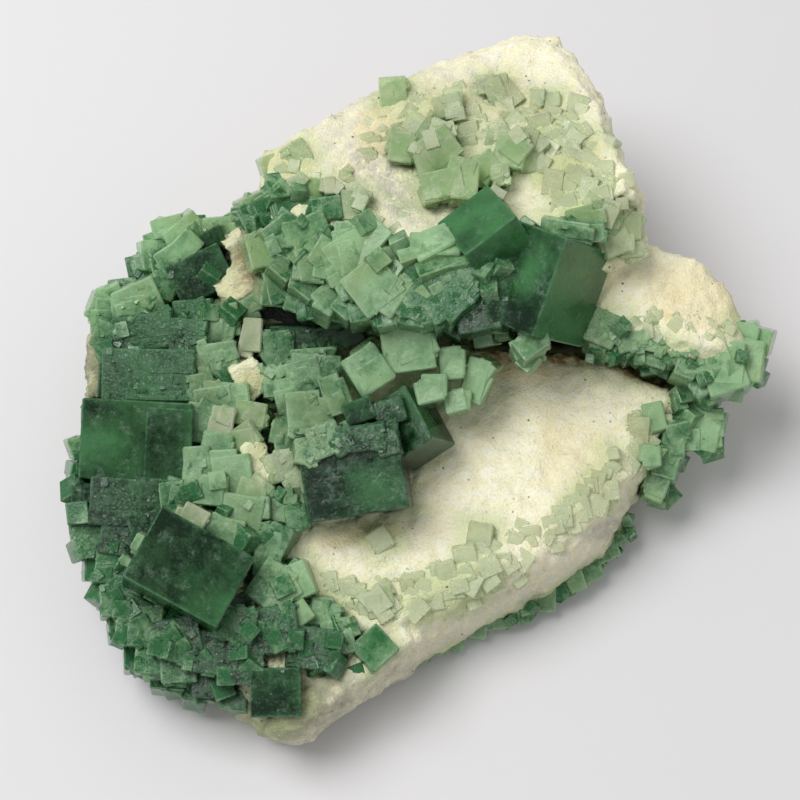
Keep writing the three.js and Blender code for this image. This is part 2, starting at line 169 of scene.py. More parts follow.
class Dice:
    """A repeatable stream of numbers from 0 to 1."""

    MULTIPLIER = 1664525
    INCREMENT = 1013904223
    MODULUS = 2**32

    def __init__(self, seed: int) -> None:
        """Starts the stream at a seed."""
        self.state = seed % self.MODULUS

    def roll(self) -> float:
        """The next number, from 0 to 1."""
        self.state = (self.state * self.MULTIPLIER + self.INCREMENT) % self.MODULUS
        return self.state / self.MODULUS

    def between(self, low: float, high: float) -> float:
        """The next number between two values."""
        return low + (high - low) * self.roll()

    def either(self, reach: float) -> float:
        """The next number between minus and plus a value."""
        return self.between(-reach, reach)


def smooth(low: float, high: float, value: float) -> float:
    """Rises smoothly from 0 at low to 1 at high."""
    share = min(max((value - low) / (high - low), 0.0), 1.0)
    return share * share * (3.0 - 2.0 * share)


def along(line: tuple[tuple[float, ...], ...], share: float) -> list[float]:
    """Finds the point at a share of a line's points.

    Args:
        line: Points of any number of coordinates.
        share: From 0 at the first point to 1 at the last.

    Returns:
        The coordinates of the point.
    """
    place = share * (len(line) - 1)
    first = min(int(place), len(line) - 2)
    part = place - first
    return [a + (b - a) * part for a, b in zip(line[first], line[first + 1])]


def turned(tip: float, swing: float, spin: float) -> Matrix:
    """A turn about the first, then the second, then the third axis, in degrees."""
    turn = Matrix.Rotation(math.radians(tip), 4, "X")
    turn = turn @ Matrix.Rotation(math.radians(swing), 4, "Y")
    return turn @ Matrix.Rotation(math.radians(spin), 4, "Z")


# ------------------------------------------------------------------ cubes


# The widest rubbed edge, as a share of a block's least size.
WIDEST_BEVEL = 0.12
# The rubbed edges of a small cube.
SMALL_BEVEL = 0.16


@dataclass(frozen=True)
class PaintedGlow:
    """A painted pool of light inside a crystal, as it shows on one of its faces.

    Attributes:
        axis: The face's axis: 0 across, 1 up or 2 out.
        sign: 1 for the face at the axis's far end, -1 for the other.
        side: Place on the face, from -1 to 1.
        end: Place on the face the other way, from -1 to 1.
    """

    axis: int = 2
    sign: int = 1
    side: float = 0.0
    end: float = 0.0

    def on(self, normal: Vector) -> Pair:
        """Where the painted glow shows on a face, or far off it on the other faces."""
        here = normal[self.axis] * self.sign > 0.5
        return (self.side, self.end) if here else NOWHERE


@dataclass(frozen=True)
class Block:
    """One box of fluorite.

    Attributes:
        size: Width, length and depth.
        place: Where its middle lies and how it is turned.
        tone: From 0, the darkest of its grade, to 1, the lightest.
        mark: A number from 0 to 1 that sets its veils apart from its neighbours'.
        painted_glow: A painted pool of light in it.
        bevel: Width of the rubbed edges.
        painted_face_light: How much lighter the faces at the far ends of its axes are painted, as painted
            light on one side.
        dusty: From 0, clean, to 1, covered by a film of dust.
    """

    size: Triple
    place: Matrix
    tone: float = 0.5
    mark: float = 0.5
    painted_glow: PaintedGlow | None = None
    bevel: float = 0.3
    painted_face_light: Triple = (0.0, 0.0, 0.0)
    dusty: float = 0.2

    def mesh(self) -> bpy.types.Mesh:
        """Makes the box with rubbed edges and the maps that its finish reads.

        Returns:
            The mesh, in metres.
        """
        bm = bmesh.new()
        bmesh.ops.create_cube(bm, size=1.0)
        bmesh.ops.scale(bm, vec=Vector(self.size), verts=bm.verts)
        rubbed = min(self.bevel, min(self.size) * WIDEST_BEVEL)
        bmesh.ops.bevel(
            bm, geom=bm.edges[:], offset=rubbed, affect="EDGES", segments=1, profile=0.5, material=-1
        )
        half = Vector(self.size) / 2
        maps = {name: bm.loops.layers.uv.new(name) for name in ("face", "half", "tone", "painted_glow", "film")}
        for face in bm.faces:
            face.smooth = False
            axis = max(range(3), key=lambda i: abs(face.normal[i]))
            side, end = [i for i in range(3) if i != axis]
            painted_glow = self.painted_glow.on(face.normal) if self.painted_glow else NOWHERE
            # Painted light: faces at the far ends of the axes are made lighter.
            tone = self.tone + face.normal.dot(Vector(self.painted_face_light))
            for loop in face.loops:
                at = loop.vert.co
                loop[maps["face"]].uv = (at[side] / half[side], at[end] / half[end])
                loop[maps["half"]].uv = (half[side], half[end])
                loop[maps["tone"]].uv = (tone, self.mark)
                loop[maps["painted_glow"]].uv = painted_glow
                loop[maps["film"]].uv = (self.dusty, 0.0)
        bmesh.ops.transform(bm, matrix=Matrix.Scale(MM, 4) @ self.place, verts=bm.verts)
        mesh = bpy.data.meshes.new("block")
        bm.to_mesh(mesh)
        bm.free()
        return mesh


# Crystals that have grown through a larger one: their size and how far they stray, as shares of its own,
# how far they rise from it, and how far they tip and spin, in degrees.
TWIN_SHARE = (0.65, 0.95)
TWIN_STRETCH = (0.8, 1.15)
TWIN_STRAY = 0.26
TWIN_RISE = (-0.5, 0.12)
TWIN_TIP = 8.0
TWIN_SPIN = 26.0
# Growth steps: their size as a share of the face's, how far they pass its edges and how proud they stand.
STEP_SHARE = (0.3, 0.92)
STEP_PAST = (-0.2, 0.22)
STEP_RISE = (0.06, 0.26)
# Tiny cubes on a dusty face, and the number of them that covers it in dust.
TINY_SIDE = (0.5, 1.9)
TINY_STRETCH = (0.6, 1.5)
TINY_DEPTH = 2.4
TINY_RISE = (-0.2, 0.22)
TINY_TIP = 16.0
TINY_SPIN = 30.0
DUSTY_COUNT = 30
# How far round a bare crystal small cubes are kept off, and down to what share of its depth.
BARE_MARGIN = 0.6
BARE_DEPTH = 0.75


@dataclass(frozen=True)
class Cube:
    """A crystal, set out by the middle of the face that looks at the eye.

    Attributes:
        across: Place to the right in the display plane.
        up: Place up the display plane.
        height: Height of the face's middle above the underside.
        width: Size of the face across.
        length: Size of the face up.
        depth: How far the crystal reaches into the crust or the rock.
        tip: Turn of its lower side towards the eye when negative, in degrees.
        swing: Turn of its right side towards the eye when negative, in degrees.
        spin: Turn of the face, in degrees.
        tone: From 0, the darkest of its grade, to 1, the lightest.
        steps: Number of growth steps on it.
        rough: Number of tiny cubes that grew on its face, parallel to it.
        painted_glow: A painted pool of light in it.
        painted_face_light: How much lighter the faces at the far ends of its axes are painted, as painted
            light on one side.
    """

    across: float
    up: float
    height: float
    width: float
    length: float
    depth: float
    tip: float = 0.0
    swing: float = 0.0
    spin: float = 0.0
    tone: float = 0.5
    steps: int = 0
    rough: int = 0
    painted_glow: PaintedGlow | None = None
    painted_face_light: Triple = (0.0, 0.0, 0.0)

    @property
    def place(self) -> Matrix:
        """The frame of the middle of the outer face, in millimetres."""
        turn = EYE.axes.to_4x4() @ turned(self.tip, self.swing, self.spin)
        return Matrix.Translation(EYE.seen(self.across, self.up, self.height)) @ turn

    def box(self, size: Triple, middle: Triple, turn: Matrix, mark: float) -> Block:
        """A block of this crystal.

        Args:
            size: Width, length and depth.
            middle: Place of its outer face's middle, from that of the crystal.
            turn: How it is turned against the crystal.
            mark: What sets its veils apart.

        Returns:
            The block.
        """
        sunk = Matrix.Translation((0.0, 0.0, -size[2] / 2))
        place = self.place @ Matrix.Translation(middle) @ turn @ sunk
        dusty = min(self.rough / DUSTY_COUNT, 1.0)
        return Block(size, place, self.tone, mark, self.painted_glow, painted_face_light=self.painted_face_light, dusty=dusty)

    def blocks(self, seed: int, twins: int = 0) -> list[Block]:
        """The crystal, its twins, its growth steps and the tiny cubes on its face.

        Args:
            seed: Seed of the steps.
            twins: Number of crystals that have grown through it, turned a little.

        Returns:
            The blocks, which overlap.
        """
        dice = Dice(seed)
        mark = dice.roll()
        still = Matrix.Identity(4)
        made = [self.box((self.width, self.length, self.depth), (0.0, 0.0, 0.0), still, mark)]
        for _ in range(twins):
            share = dice.between(*TWIN_SHARE)
            size = (self.width * share, self.length * share * dice.between(*TWIN_STRETCH), self.depth)
            x, y = dice.either(self.width * TWIN_STRAY), dice.either(self.length * TWIN_STRAY)
            turn = turned(dice.either(TWIN_TIP), dice.either(TWIN_TIP), dice.either(TWIN_SPIN))
            made.append(self.box(size, (x, y, dice.between(*TWIN_RISE)), turn, dice.roll()))
        for _ in range(self.steps):
            wide = self.width * dice.between(*STEP_SHARE)
            long = self.length * dice.between(*STEP_SHARE)
            right = 1.0 if dice.roll() > 0.5 else -1.0
            far = 1.0 if dice.roll() > 0.5 else -1.0
            x = right * ((self.width - wide) / 2 + dice.between(*STEP_PAST))
            y = far * ((self.length - long) / 2 + dice.between(*STEP_PAST))
            proud = dice.between(*STEP_RISE)
            made.append(self.box((wide, long, self.depth), (x, y, proud), still, mark))
        for _ in range(self.rough):
            side = dice.between(*TINY_SIDE)
            size = (side, side * dice.between(*TINY_STRETCH), TINY_DEPTH)
            x = dice.either(self.width / 2 - side * 0.3)
            y = dice.either(self.length / 2 - side * 0.3)
            turn = turned(dice.either(TINY_TIP), dice.either(TINY_TIP), dice.either(TINY_SPIN))
            made.append(self.box(size, (x, y, dice.between(*TINY_RISE)), turn, dice.roll()))
        return made

    def covers(self, point: Vector) -> bool:
        """Whether a point lies on this crystal's outer faces or just inside them."""
        at = self.place.inverted() @ point
        beside = abs(at.x) < self.width / 2 + BARE_MARGIN and abs(at.y) < self.length / 2 + BARE_MARGIN
        return beside and at.z > -BARE_DEPTH * self.depth


@dataclass(frozen=True)
class Run:
    """A run of cubes that overlap along a line of (across, up, height) points.

    Attributes:
        line: The points.
        count: Number of cubes.
        size: Smallest and largest side.
        depth: Their depth.
        tilt: How far each may tip, swing and spin, in degrees.
        seed: Seed of the run.
        spread: How far they stray from the line.
        tone: Darkest and lightest tone.
    """

    line: tuple[Triple, ...]
    count: int
    size: Pair
    depth: float
    tilt: Triple
    seed: int
    spread: float = 0.8
    tone: Pair = (0.2, 0.8)

    # The least length of a cube as a share of its width, and how much longer it may be.
    SHORTEST = 0.85
    LONGER = 0.3
    STEPS = 1

    def cubes(self) -> list[Cube]:
        """The cubes of the run, in order."""
        dice = Dice(self.seed)
        shades = Dice(self.seed + SEEDS_APART)
        made = []
        for i in range(self.count):
            across, up, height = along(self.line, (i + 0.5) / self.count)
            side = dice.between(*self.size)
            across += dice.either(self.spread)
            up += dice.either(self.spread)
            height += dice.either(self.spread)
            length = side * (self.SHORTEST + self.LONGER * dice.roll())
            turns = [dice.either(reach) for reach in self.tilt]
            tone = shades.between(*self.tone)
            made.append(Cube(across, up, height, side, length, self.depth, *turns, tone, self.STEPS))
        return made


class Ground:
    """The solids that small crystals land on."""

    def __init__(self, nodes: Iterable[bpy.types.Object]) -> None:
        """Gathers the solids' triangles.

        Args:
            nodes: The solids' objects.
        """
        corners: list[Vector] = []
        faces: list[tuple[int, ...]] = []
        self.spans: dict[str, tuple[int, int]] = {}
        for node in nodes:
            first = len(corners)
            start = len(faces)
            corners += [vertex.co / MM for vertex in node.data.vertices]
            faces += [tuple(first + i for i in polygon.vertices) for polygon in node.data.polygons]
            self.spans[node.name] = (start, len(faces))
        self.corners = corners
        self.faces = faces
        self.bare: list[Cube] = []
        self.tree = BVHTree.FromPolygons(corners, faces)

    def is_kept_bare(self, point: Vector) -> bool:
        """Whether a point lies on a crystal whose faces no small cubes cover."""
        return any(cube.covers(point) for cube in self.bare)

    def land(self, across: float, up: float) -> tuple[Vector, Vector] | None:
        """Finds what the eye sees at (across, up).

        Args:
            across: Distance to the right in the display plane.
            up: Distance up the display plane.

        Returns:
            The point and the surface's outward direction, or None past the outline.
        """
        point, normal, _, _ = self.tree.ray_cast(EYE.place, EYE.toward(across, up))
        return None if point is None else (point, normal)

    def strewn(self, names: Iterable[str], count: int, dice: Dice) -> list[tuple[Vector, Vector]]:
        """Picks points on solids, evenly by area.

        Args:
            names: The solids.
            count: Number of points.
            dice: What picks them.

        Returns:
            The points, each with its surface's outward direction.
        """
        chosen: list[tuple[Vector, Vector, Vector]] = []
        totals: list[float] = []
        total = 0.0
        for name in names:
            for face in self.faces[slice(*self.spans[name])]:
                a, b, c = (self.corners[i] for i in face[:3])
                total += (b - a).cross(c - a).length / 2
                chosen.append((a, b, c))
                totals.append(total)
        found = []
        for _ in range(count):
            a, b, c = chosen[min(bisect(totals, dice.roll() * total), len(chosen) - 1)]
            u, v = dice.roll(), dice.roll()
            if u + v > 1.0:
                u, v = 1.0 - u, 1.0 - v
            found.append((a + (b - a) * u + (c - a) * v, (b - a).cross(c - a).normalized()))
        return found


def perched(point: Vector, turn: Matrix, size: Triple, sunk: float, tone: float, mark: float) -> Block:
    """A small cube on a surface.

    Args:
        point: A point of the surface.
        turn: How it is turned.
        size: Width, length and depth.
        sunk: The share of its depth that lies below the point.
        tone: Its tone.
        mark: What sets its veils apart.

    Returns:
        The block.
    """
    place = Matrix.Translation(point) @ turn @ Matrix.Translation((0.0, 0.0, size[2] * (0.5 - sunk)))
    return Block(size, place, tone, mark, bevel=SMALL_BEVEL)


@dataclass(frozen=True)
class Patch:
    """Small cubes strewn along a line of (across, up) points, on what the eye sees there.

    Attributes:
        line: The points.
        reach: How far they stray from the line.
        count: Number of cubes.
        size: Smallest and largest side.
        seed: Seed of the patch.
        tone: Darkest and lightest tone.
        sunk: The share of a cube below the surface.
        tilt: How far the families tip, in degrees.
        families: Number of directions that the cubes share, each along its own stretch of the line.
    """

    line: tuple[Pair, ...]
    reach: float
    count: int
    size: Pair
    seed: int
    tone: Pair = (0.2, 0.8)
    sunk: float = 0.94
    tilt: float = 8.0
    families: int = 7

    # How the cubes differ: their side, their length and depth beside it, how far they turn from their
    # family, in degrees, how far the families' stretches run into each other, and how unevenly they sink.
    SHRINK = (0.7, 1.0)
    STRETCH = (0.8, 1.4)
    DEPTH = (1.0, 1.6)
    STRAY = 8.0
    MIXED = 0.9
    UNEVEN = 0.12

    def blocks(self, ground: Ground) -> list[Block]:
        """Lands the cubes.

        Args:
            ground: What they land on.

        Returns:
            The blocks.
        """
        dice = Dice(self.seed)
        shared = [
            turned(dice.either(self.tilt), dice.either(self.tilt), dice.either(ANY_SPIN))
            for _ in range(self.families)
        ]
        made = []
        for i in range(self.count):
            share = (i + dice.roll()) / self.count
            across, up = along(self.line, share)
            landed = ground.land(across + dice.either(self.reach), up + dice.either(self.reach))
            side = dice.between(*self.size) * dice.between(*self.SHRINK)
            size = (side, side * dice.between(*self.STRETCH), side * dice.between(*self.DEPTH))
            family = int(share * self.families + dice.either(self.MIXED)) % self.families
            turn = shared[family] @ turned(*(dice.either(self.STRAY) for _ in range(3)))
            tone, mark = dice.between(*self.tone), dice.roll()
            sunk = self.sunk + dice.either(self.UNEVEN)
            if landed is None or ground.is_kept_bare(landed[0]):
                continue
            made.append(perched(landed[0], EYE.axes.to_4x4() @ turn, size, sunk, tone, mark))
        return made


@dataclass(frozen=True)
class Mantle:
    """Small cubes all over solids, on the sides that the eye doesn't see too.

    Attributes:
        nodes: The solids.
        count: Number of cubes.
        size: Smallest and largest side.
        seed: Seed of the mantle.
        tone: Darkest and lightest tone.
        most_up: Surfaces that face the eye more than this are left bare.
        lowest: Least height of a cube's foot.
        sunk: The share of a cube below the surface.
        tilt: How far they tip, in degrees.
    """

    nodes: tuple[str, ...]
    count: int
    size: Pair
    seed: int
    tone: Pair = (0.2, 0.8)
    most_up: float = 0.3
    lowest: float = 1.5
    sunk: float = 0.9
    tilt: float = 30.0

    # The length of a cube beside its width, and how far its foot reaches below its middle.
    STRETCH = (0.8, 1.25)
    FOOT = 0.6

    def blocks(self, ground: Ground) -> list[Block]:
        """Lands the cubes.

        Args:
            ground: What they land on.

        Returns:
            The blocks.
        """
        dice = Dice(self.seed)
        made = []
        for point, normal in ground.strewn(self.nodes, self.count, dice):
            side = dice.between(*self.size)
            size = (side, side * dice.between(*self.STRETCH), side)
            turn = turned(dice.either(self.tilt), dice.either(self.tilt), dice.either(ANY_SPIN))
            tone, mark = dice.between(*self.tone), dice.roll()
            too_low = point.z < self.lowest + side * self.FOOT
            if normal.dot(EYE.out) > self.most_up or too_low or ground.is_kept_bare(point):
                continue
            stand = normal.to_track_quat("Z", "Y").to_matrix().to_4x4()
            made.append(perched(point, stand @ turn, size, self.sunk, tone, mark))
        return made


# ------------------------------------------------------------------ shaders


class Socket:
    """A shader value that takes part in Python expressions."""

    def __init__(self, shader: Shader, link: bpy.types.NodeSocket) -> None:
        """Wraps an output of a node.

        Args:
            shader: The shader that holds the node.
            link: The output.
        """
        self.shader = shader
        self.link = link

    def math(self, operation: str, *others: Socket | float) -> Socket:
        """Adds a Math node that works on this value and others."""
        return self.shader.math(operation, self, *others)

    def __add__(self, other: Socket | float) -> Socket:
        """self + other."""
        return self.math("ADD", other)

    __radd__ = __add__

    def __mul__(self, other: Socket | float) -> Socket:
        """self * other."""
        return self.math("MULTIPLY", other)

    def __sub__(self, other: Socket | float) -> Socket:
        """self - other."""
        return self.math("SUBTRACT", other)

    def __rsub__(self, other: Socket | float) -> Socket:
        """other - self."""
        return self.shader.math("SUBTRACT", other, self)

    def __abs__(self) -> Socket:
        """The value without its sign."""
        return self.math("ABSOLUTE")

    def clamped(self) -> Socket:
        """The value kept between 0 and 1."""
        return self.shader.node("ShaderNodeClamp", {}, {"Value": self})

    def ramped(self, low: float, high: float) -> Socket:
        """Rises smoothly from 0 at low to 1 at high, or falls where low is the larger."""
        if low > high:
            return 1.0 - self.ramped(high, low)
        settings = {"interpolation_type": "SMOOTHSTEP"}
        return self.shader.node(
            "ShaderNodeMapRange", settings, {"Value": self, "From Min": low, "From Max": high}
        )


class Shader:
    """The node tree of one material."""

    def __init__(self, name: str) -> None:
        """Starts an empty material."""
        self.material = bpy.data.materials.new(name)
        self.material.use_nodes = True
        self.tree = self.material.node_tree
        self.tree.nodes.clear()

    def node(
        self, kind: str, settings: dict[str, object], inputs: dict[str | int, object], output: str | int = 0
    ) -> Socket:
        """Adds a node.

        Args:
            kind: The node's type.
            settings: Its properties, which are set first.
            inputs: Values or sockets for its inputs, by name or number.
            output: The output to return.

        Returns:
            The output as a socket.
        """
        made = self.tree.nodes.new(kind)
        for name, value in settings.items():
            setattr(made, name, value)
        for name, value in inputs.items():
            if isinstance(value, Socket):
                self.tree.links.new(value.link, made.inputs[name])
            else:
                made.inputs[name].default_value = value
        return Socket(self, made.outputs[output])

    def math(self, operation: str, *values: Socket | float) -> Socket:
        """Adds a Math node."""
        return self.node("ShaderNodeMath", {"operation": operation}, dict(enumerate(values)))

    def mix(self, first: Socket | Colour, second: Socket | Colour, share: Socket | float) -> Socket:
        """Mixes two colours.

        Args:
            first: The colour at share 0.
            second: The colour at share 1.
            share: How much of the second.

        Returns:
            The mixed colour.
        """
        ends = [c if isinstance(c, Socket) else (*c, 1.0) for c in (first, second)]
        inputs = {0: share, 6: ends[0], 7: ends[1]}
        return self.node("ShaderNodeMix", {"data_type": "RGBA", "clamp_factor": True}, inputs, 2)

    def vector(self, operation: str, first: Socket, second: Socket | Triple) -> Socket:
        """Adds a Vector Math node."""
        return self.node("ShaderNodeVectorMath", {"operation": operation}, {0: first, 1: second})

    def place(self) -> Socket:
        """The place on the object, in millimetres."""
        at = self.node("ShaderNodeTexCoord", {}, {}, "Object")
        return self.vector("MULTIPLY", at, (1.0 / MM,) * 3)

    def map(self, name: str) -> tuple[Socket, Socket]:
        """The two numbers of one of the piece's own maps."""
        both = self.node("ShaderNodeUVMap", {"uv_map": name}, {})
        return self.parts(both)[:2]

    def painted(self, name: str) -> tuple[Socket, Socket, Socket]:
        """The three numbers that are painted on the piece's corners under a name."""
        return self.parts(self.node("ShaderNodeVertexColor", {"layer_name": name}, {}))

    def parts(self, vector: Socket) -> tuple[Socket, Socket, Socket]:
        """The three numbers of a vector."""
        first = self.node("ShaderNodeSeparateXYZ", {}, {0: vector})
        outputs = first.link.node.outputs
        return first, Socket(self, outputs[1]), Socket(self, outputs[2])

    def joined(self, x: Socket | float, y: Socket | float, z: Socket | float) -> Socket:
        """A vector of three numbers."""
        return self.node("ShaderNodeCombineXYZ", {}, {0: x, 1: y, 2: z})

    def cloud(self, at: Socket, size: float, detail: float = 2.0, rough: float = 0.5) -> Socket:
        """Soft noise from 0 to 1 with features of a size in millimetres."""
        inputs = {"Vector": at, "Scale": 1.0 / size, "Detail": detail, "Roughness": rough}
        return self.node("ShaderNodeTexNoise", {"noise_dimensions": "3D"}, inputs, 0)

    def cells(self, at: Socket, size: float, metric: str = "EUCLIDEAN", output: str = "Distance") -> Socket:
        """Cells of a size in millimetres: the distance from a cell's middle, or its own colour."""
        settings = {"voronoi_dimensions": "3D", "distance": metric}
        return self.node("ShaderNodeTexVoronoi", settings, {"Vector": at, "Scale": 1.0 / size}, output)

    def draws(self, at: Socket, size: float, metric: str = "EUCLIDEAN") -> Socket:
        """A number from 0 to 1 that each cell of a size has drawn."""
        return self.parts(self.cells(at, size, metric, "Color"))[0]

    def specks(self, at: Socket, size: float, radius: float, share: float) -> Socket:
        """Specks scattered on a surface.

        Args:
            at: The place.
            size: Spacing of the specks in millimetres.
            radius: Radius of a speck in millimetres.
            share: The share of the places that hold one.

        Returns:
            1 on a speck, 0 between them.
        """
        near = self.cells(at, size).ramped(radius / size, radius / size * 0.6)
        return near * self.draws(at, size).math("LESS_THAN", share)

    def relief(self, height: Socket, strength: float) -> Socket:
        """The surface's direction with a fine relief on it, whose height is in millimetres."""
        inputs = {"Height": height, "Distance": MM, "Strength": strength}
        return self.node("ShaderNodeBump", {}, inputs)

    def finish(self, surface: Socket, volume: Socket | None = None) -> bpy.types.Material:
        """Joins the shaders to the material's output.

        Args:
            surface: The surface's shader.
            volume: The volume's shader.

        Returns:
            The material.
        """
        ends: dict[str | int, object] = {"Surface": surface}
        if volume is not None:
            ends["Volume"] = volume
        made = self.tree.nodes.new("ShaderNodeOutputMaterial")
        for name, value in ends.items():
            self.tree.links.new(value.link, made.inputs[name])
        return self.material


class CrystalFace:
    """The patterns on a crystal's face that a fluorite finish is mixed from.

    The names in capitals are the patterns' sizes, in millimetres.

    Attributes:
        shader: The shader that the patterns belong to.
        at: The place, in millimetres.
        u: The place on the face, from -1 to 1.
        v: The place on the face the other way, from -1 to 1.
        tone: The crystal's tone.
        mark: What sets its veils apart.
        rim: Distance from the nearest edge of the face, in millimetres.
        broad: From 0 on a small face to 1 on a broad one.
        recess_shade_mask: How far it is shut in by its neighbours, where the finish paints shade.
        dusty: How dusty the crystal is.
        steps: Growth steps along the face's sides.
        wisp: Fine wisps.
        wisps: The wisps, drawn sharper.
        sugar: Fine grains.
        haze: Frosted patches.
        film: The film of dust.
    """

    VEIL = 7.0
    DRIFT = 16.0
    WISP = 1.6
    SUGAR = 0.5
    STEP = 2.6
    HAZE = 4.5
    WARMTH = 11.0
    MOTE_AND_GLINT = 0.6

    def __init__(self, shader: Shader) -> None:
        """Reads the face's maps and draws its patterns."""
        self.shader = shader
        self.at = shader.place()
        self.u, self.v = shader.map("face")
        half_u, half_v = shader.map("half")
        self.tone, self.mark = shader.map("tone")
        self.recess_shade_mask = shader.painted("recess_shade")[0]
        self.dusty = shader.map("film")[0]
        wide = self.u * half_u
        long = self.v * half_v
        self.rim = (half_u - abs(wide)).math("MINIMUM", half_v - abs(long))
        self.broad = half_u.math("MINIMUM", half_v).ramped(0.8, 4.0)
        self.steps = shader.draws(shader.joined(wide, long, self.mark * 50.0), self.STEP, "CHEBYCHEV")
        self.wisp = shader.cloud(self.at, self.WISP, 4.0, 0.65)
        self.wisps = self.wisp.ramped(0.35, 0.65)
        self.sugar = shader.cloud(self.at, self.SUGAR, 3.0, 0.7)
        self.haze = shader.cloud(self.at, self.HAZE, 5.0, 0.7).ramped(0.47, 0.7) * self.wisps
        self.film = self.dusty * (0.2 + self.wisps * 0.4 + self.sugar.ramped(0.4, 0.6) * 0.4)

    def slope(self) -> Socket:
        """A change of tone across the face, to a side of the crystal's own."""
        aim = self.mark * 40.0
        return self.u * aim.math("COSINE") + self.v * aim.math("SINE")

    def painted_glow(self) -> Socket:
        """The painted glow, a pool of light: 1 in its middle, 0 away from it."""
        painted_glow_u, painted_glow_v = self.shader.map("painted_glow")
        off_u = self.u - painted_glow_u
        off_v = self.v - painted_glow_v
        return (off_u * off_u + off_v * off_v).math("SQRT").ramped(0.95, 0.1)

    def level(self) -> Socket:
        """How light it is: the crystal's tone with its veils and steps, its painted glow and the painted
        highlight near its edges, from 0 to 1.
        """
        veil = self.shader.cloud(self.at, self.VEIL, 3.0).ramped(0.3, 0.7) - 0.5
        drift = self.shader.cloud(self.at, self.DRIFT) - 0.5
        level = self.tone + veil * (0.55 - self.broad * 0.2) + drift * 0.9 + self.slope() * 0.2
        # Painted glow: lighter round the crystal's light place.
        level = level + (self.steps - 0.5) * 0.14 + self.painted_glow() * 0.7 - 0.05
        # Painted highlight: broad faces lighter near their edges.
        level = level + self.rim.ramped(1.6, 0.3) * self.broad * 0.15
        level = level + (self.wisps - 0.5) * (0.38 - self.broad * 0.24)
        level = level + (self.sugar.ramped(0.38, 0.62) - 0.5) * 0.14
        return level.clamped()

    def warmth(self) -> Socket:
        """Where it is stained warmer."""
        return self.shader.cloud(self.at, self.WARMTH, 3.0).ramped(0.47, 0.72)

    def sharp(self) -> Socket:
        """The painted highlight along the thin edges."""
        return self.rim.ramped(0.5, 0.2) * self.wisp.ramped(0.35, 0.6) * (0.1 + self.broad * 0.9)

    def motes_and_glints(self) -> Socket:
        """Motes of dust, more of them on a dusty or a frosted face, which also serve as painted glints."""
        motes_and_glints = self.shader.specks(self.at, self.MOTE_AND_GLINT, 0.16, 0.3) + self.sugar.ramped(0.58, 0.66) * 0.6
        return motes_and_glints * (self.dusty * 0.6 + self.haze * 0.35 + 0.06)

    def height(self) -> Socket:
        """The height of its fine relief, in millimetres."""
        grains = self.sugar * (self.dusty * 0.12 + 0.03)
        return self.steps * 0.10 + self.wisp * 0.16 + self.haze * 0.05 + grains


@dataclass(frozen=True)
class Fluorite:
    """A grade of fluorite.

    Attributes:
        name: Name of its material.
        shade: Colour of its darkest crystals.
        light: Colour of its lightest crystals.
        edge_highlight: Colour of the painted highlight along the thin edges.
        warm: Colour where it is stained warmer.
        painted_shade_colour: Its painted shade colour deep between the crystals.
        dust: Colour of the frost and dust on its faces.
        frost: How much of it there is.
        clear: Share of the light that goes through.
        rough: Roughness of the faces.
        passed: Colour that passes through the crystal.
        density: How strongly it absorbs, per metre.
        mote_and_glint: Colour of the motes of dust and of the painted glints.
        refraction: Its index of refraction.
        shine: Strength of its shine.
    """

    name: str
    shade: Colour
    light: Colour
    edge_highlight: Colour
    warm: Colour
    painted_shade_colour: Colour
    dust: Colour
    frost: float
    clear: float
    rough: float
    passed: Colour
    density: float
    mote_and_glint: Colour = (0.72, 0.84, 0.70)
    refraction: float = 1.434
    shine: float = 0.22

    def colour(self, face: CrystalFace) -> Socket:
        """Mixes its colour on a face, with its painted glow, painted edge highlights, motes with painted
        glints and painted shade.
        """
        level = face.level()
        mix = face.shader.mix
        colour = mix(self.shade, self.light, level)
        colour = mix(colour, self.warm, face.warmth() * level * 0.6)
        colour = mix(colour, self.dust, face.haze * self.frost)
        # Painted highlight along the edges.
        colour = mix(colour, self.edge_highlight, face.sharp() * 0.45)
        colour = mix(colour, self.dust, face.film * 0.4)
        # Dust motes, partly painted glints.
        colour = mix(colour, self.mote_and_glint, face.motes_and_glints())
        # Painted shade deep between the crystals.
        return mix(colour, self.painted_shade_colour, face.recess_shade_mask.ramped(0.25, 0.85) * 0.75)

    def material(self) -> bpy.types.Material:
        """Builds the material."""
        shader = Shader(self.name)
        face = CrystalFace(shader)
        surface = shader.node(
            "ShaderNodeBsdfPrincipled",
            {},
            {
                "Base Color": self.colour(face),
                "Roughness": self.rough + face.haze * 0.3 + face.film * 0.3 + (face.wisp - 0.5) * 0.2,
                "Normal": shader.relief(face.height(), 0.7),
                "IOR": self.refraction,
                "Specular IOR Level": self.shine,
                "Transmission Weight": self.clear,
            },
        )
        passed = (*self.passed, 1.0)
        volume = shader.node("ShaderNodeVolumeAbsorption", {}, {"Color": passed, "Density": self.density})
        return shader.finish(surface, volume)


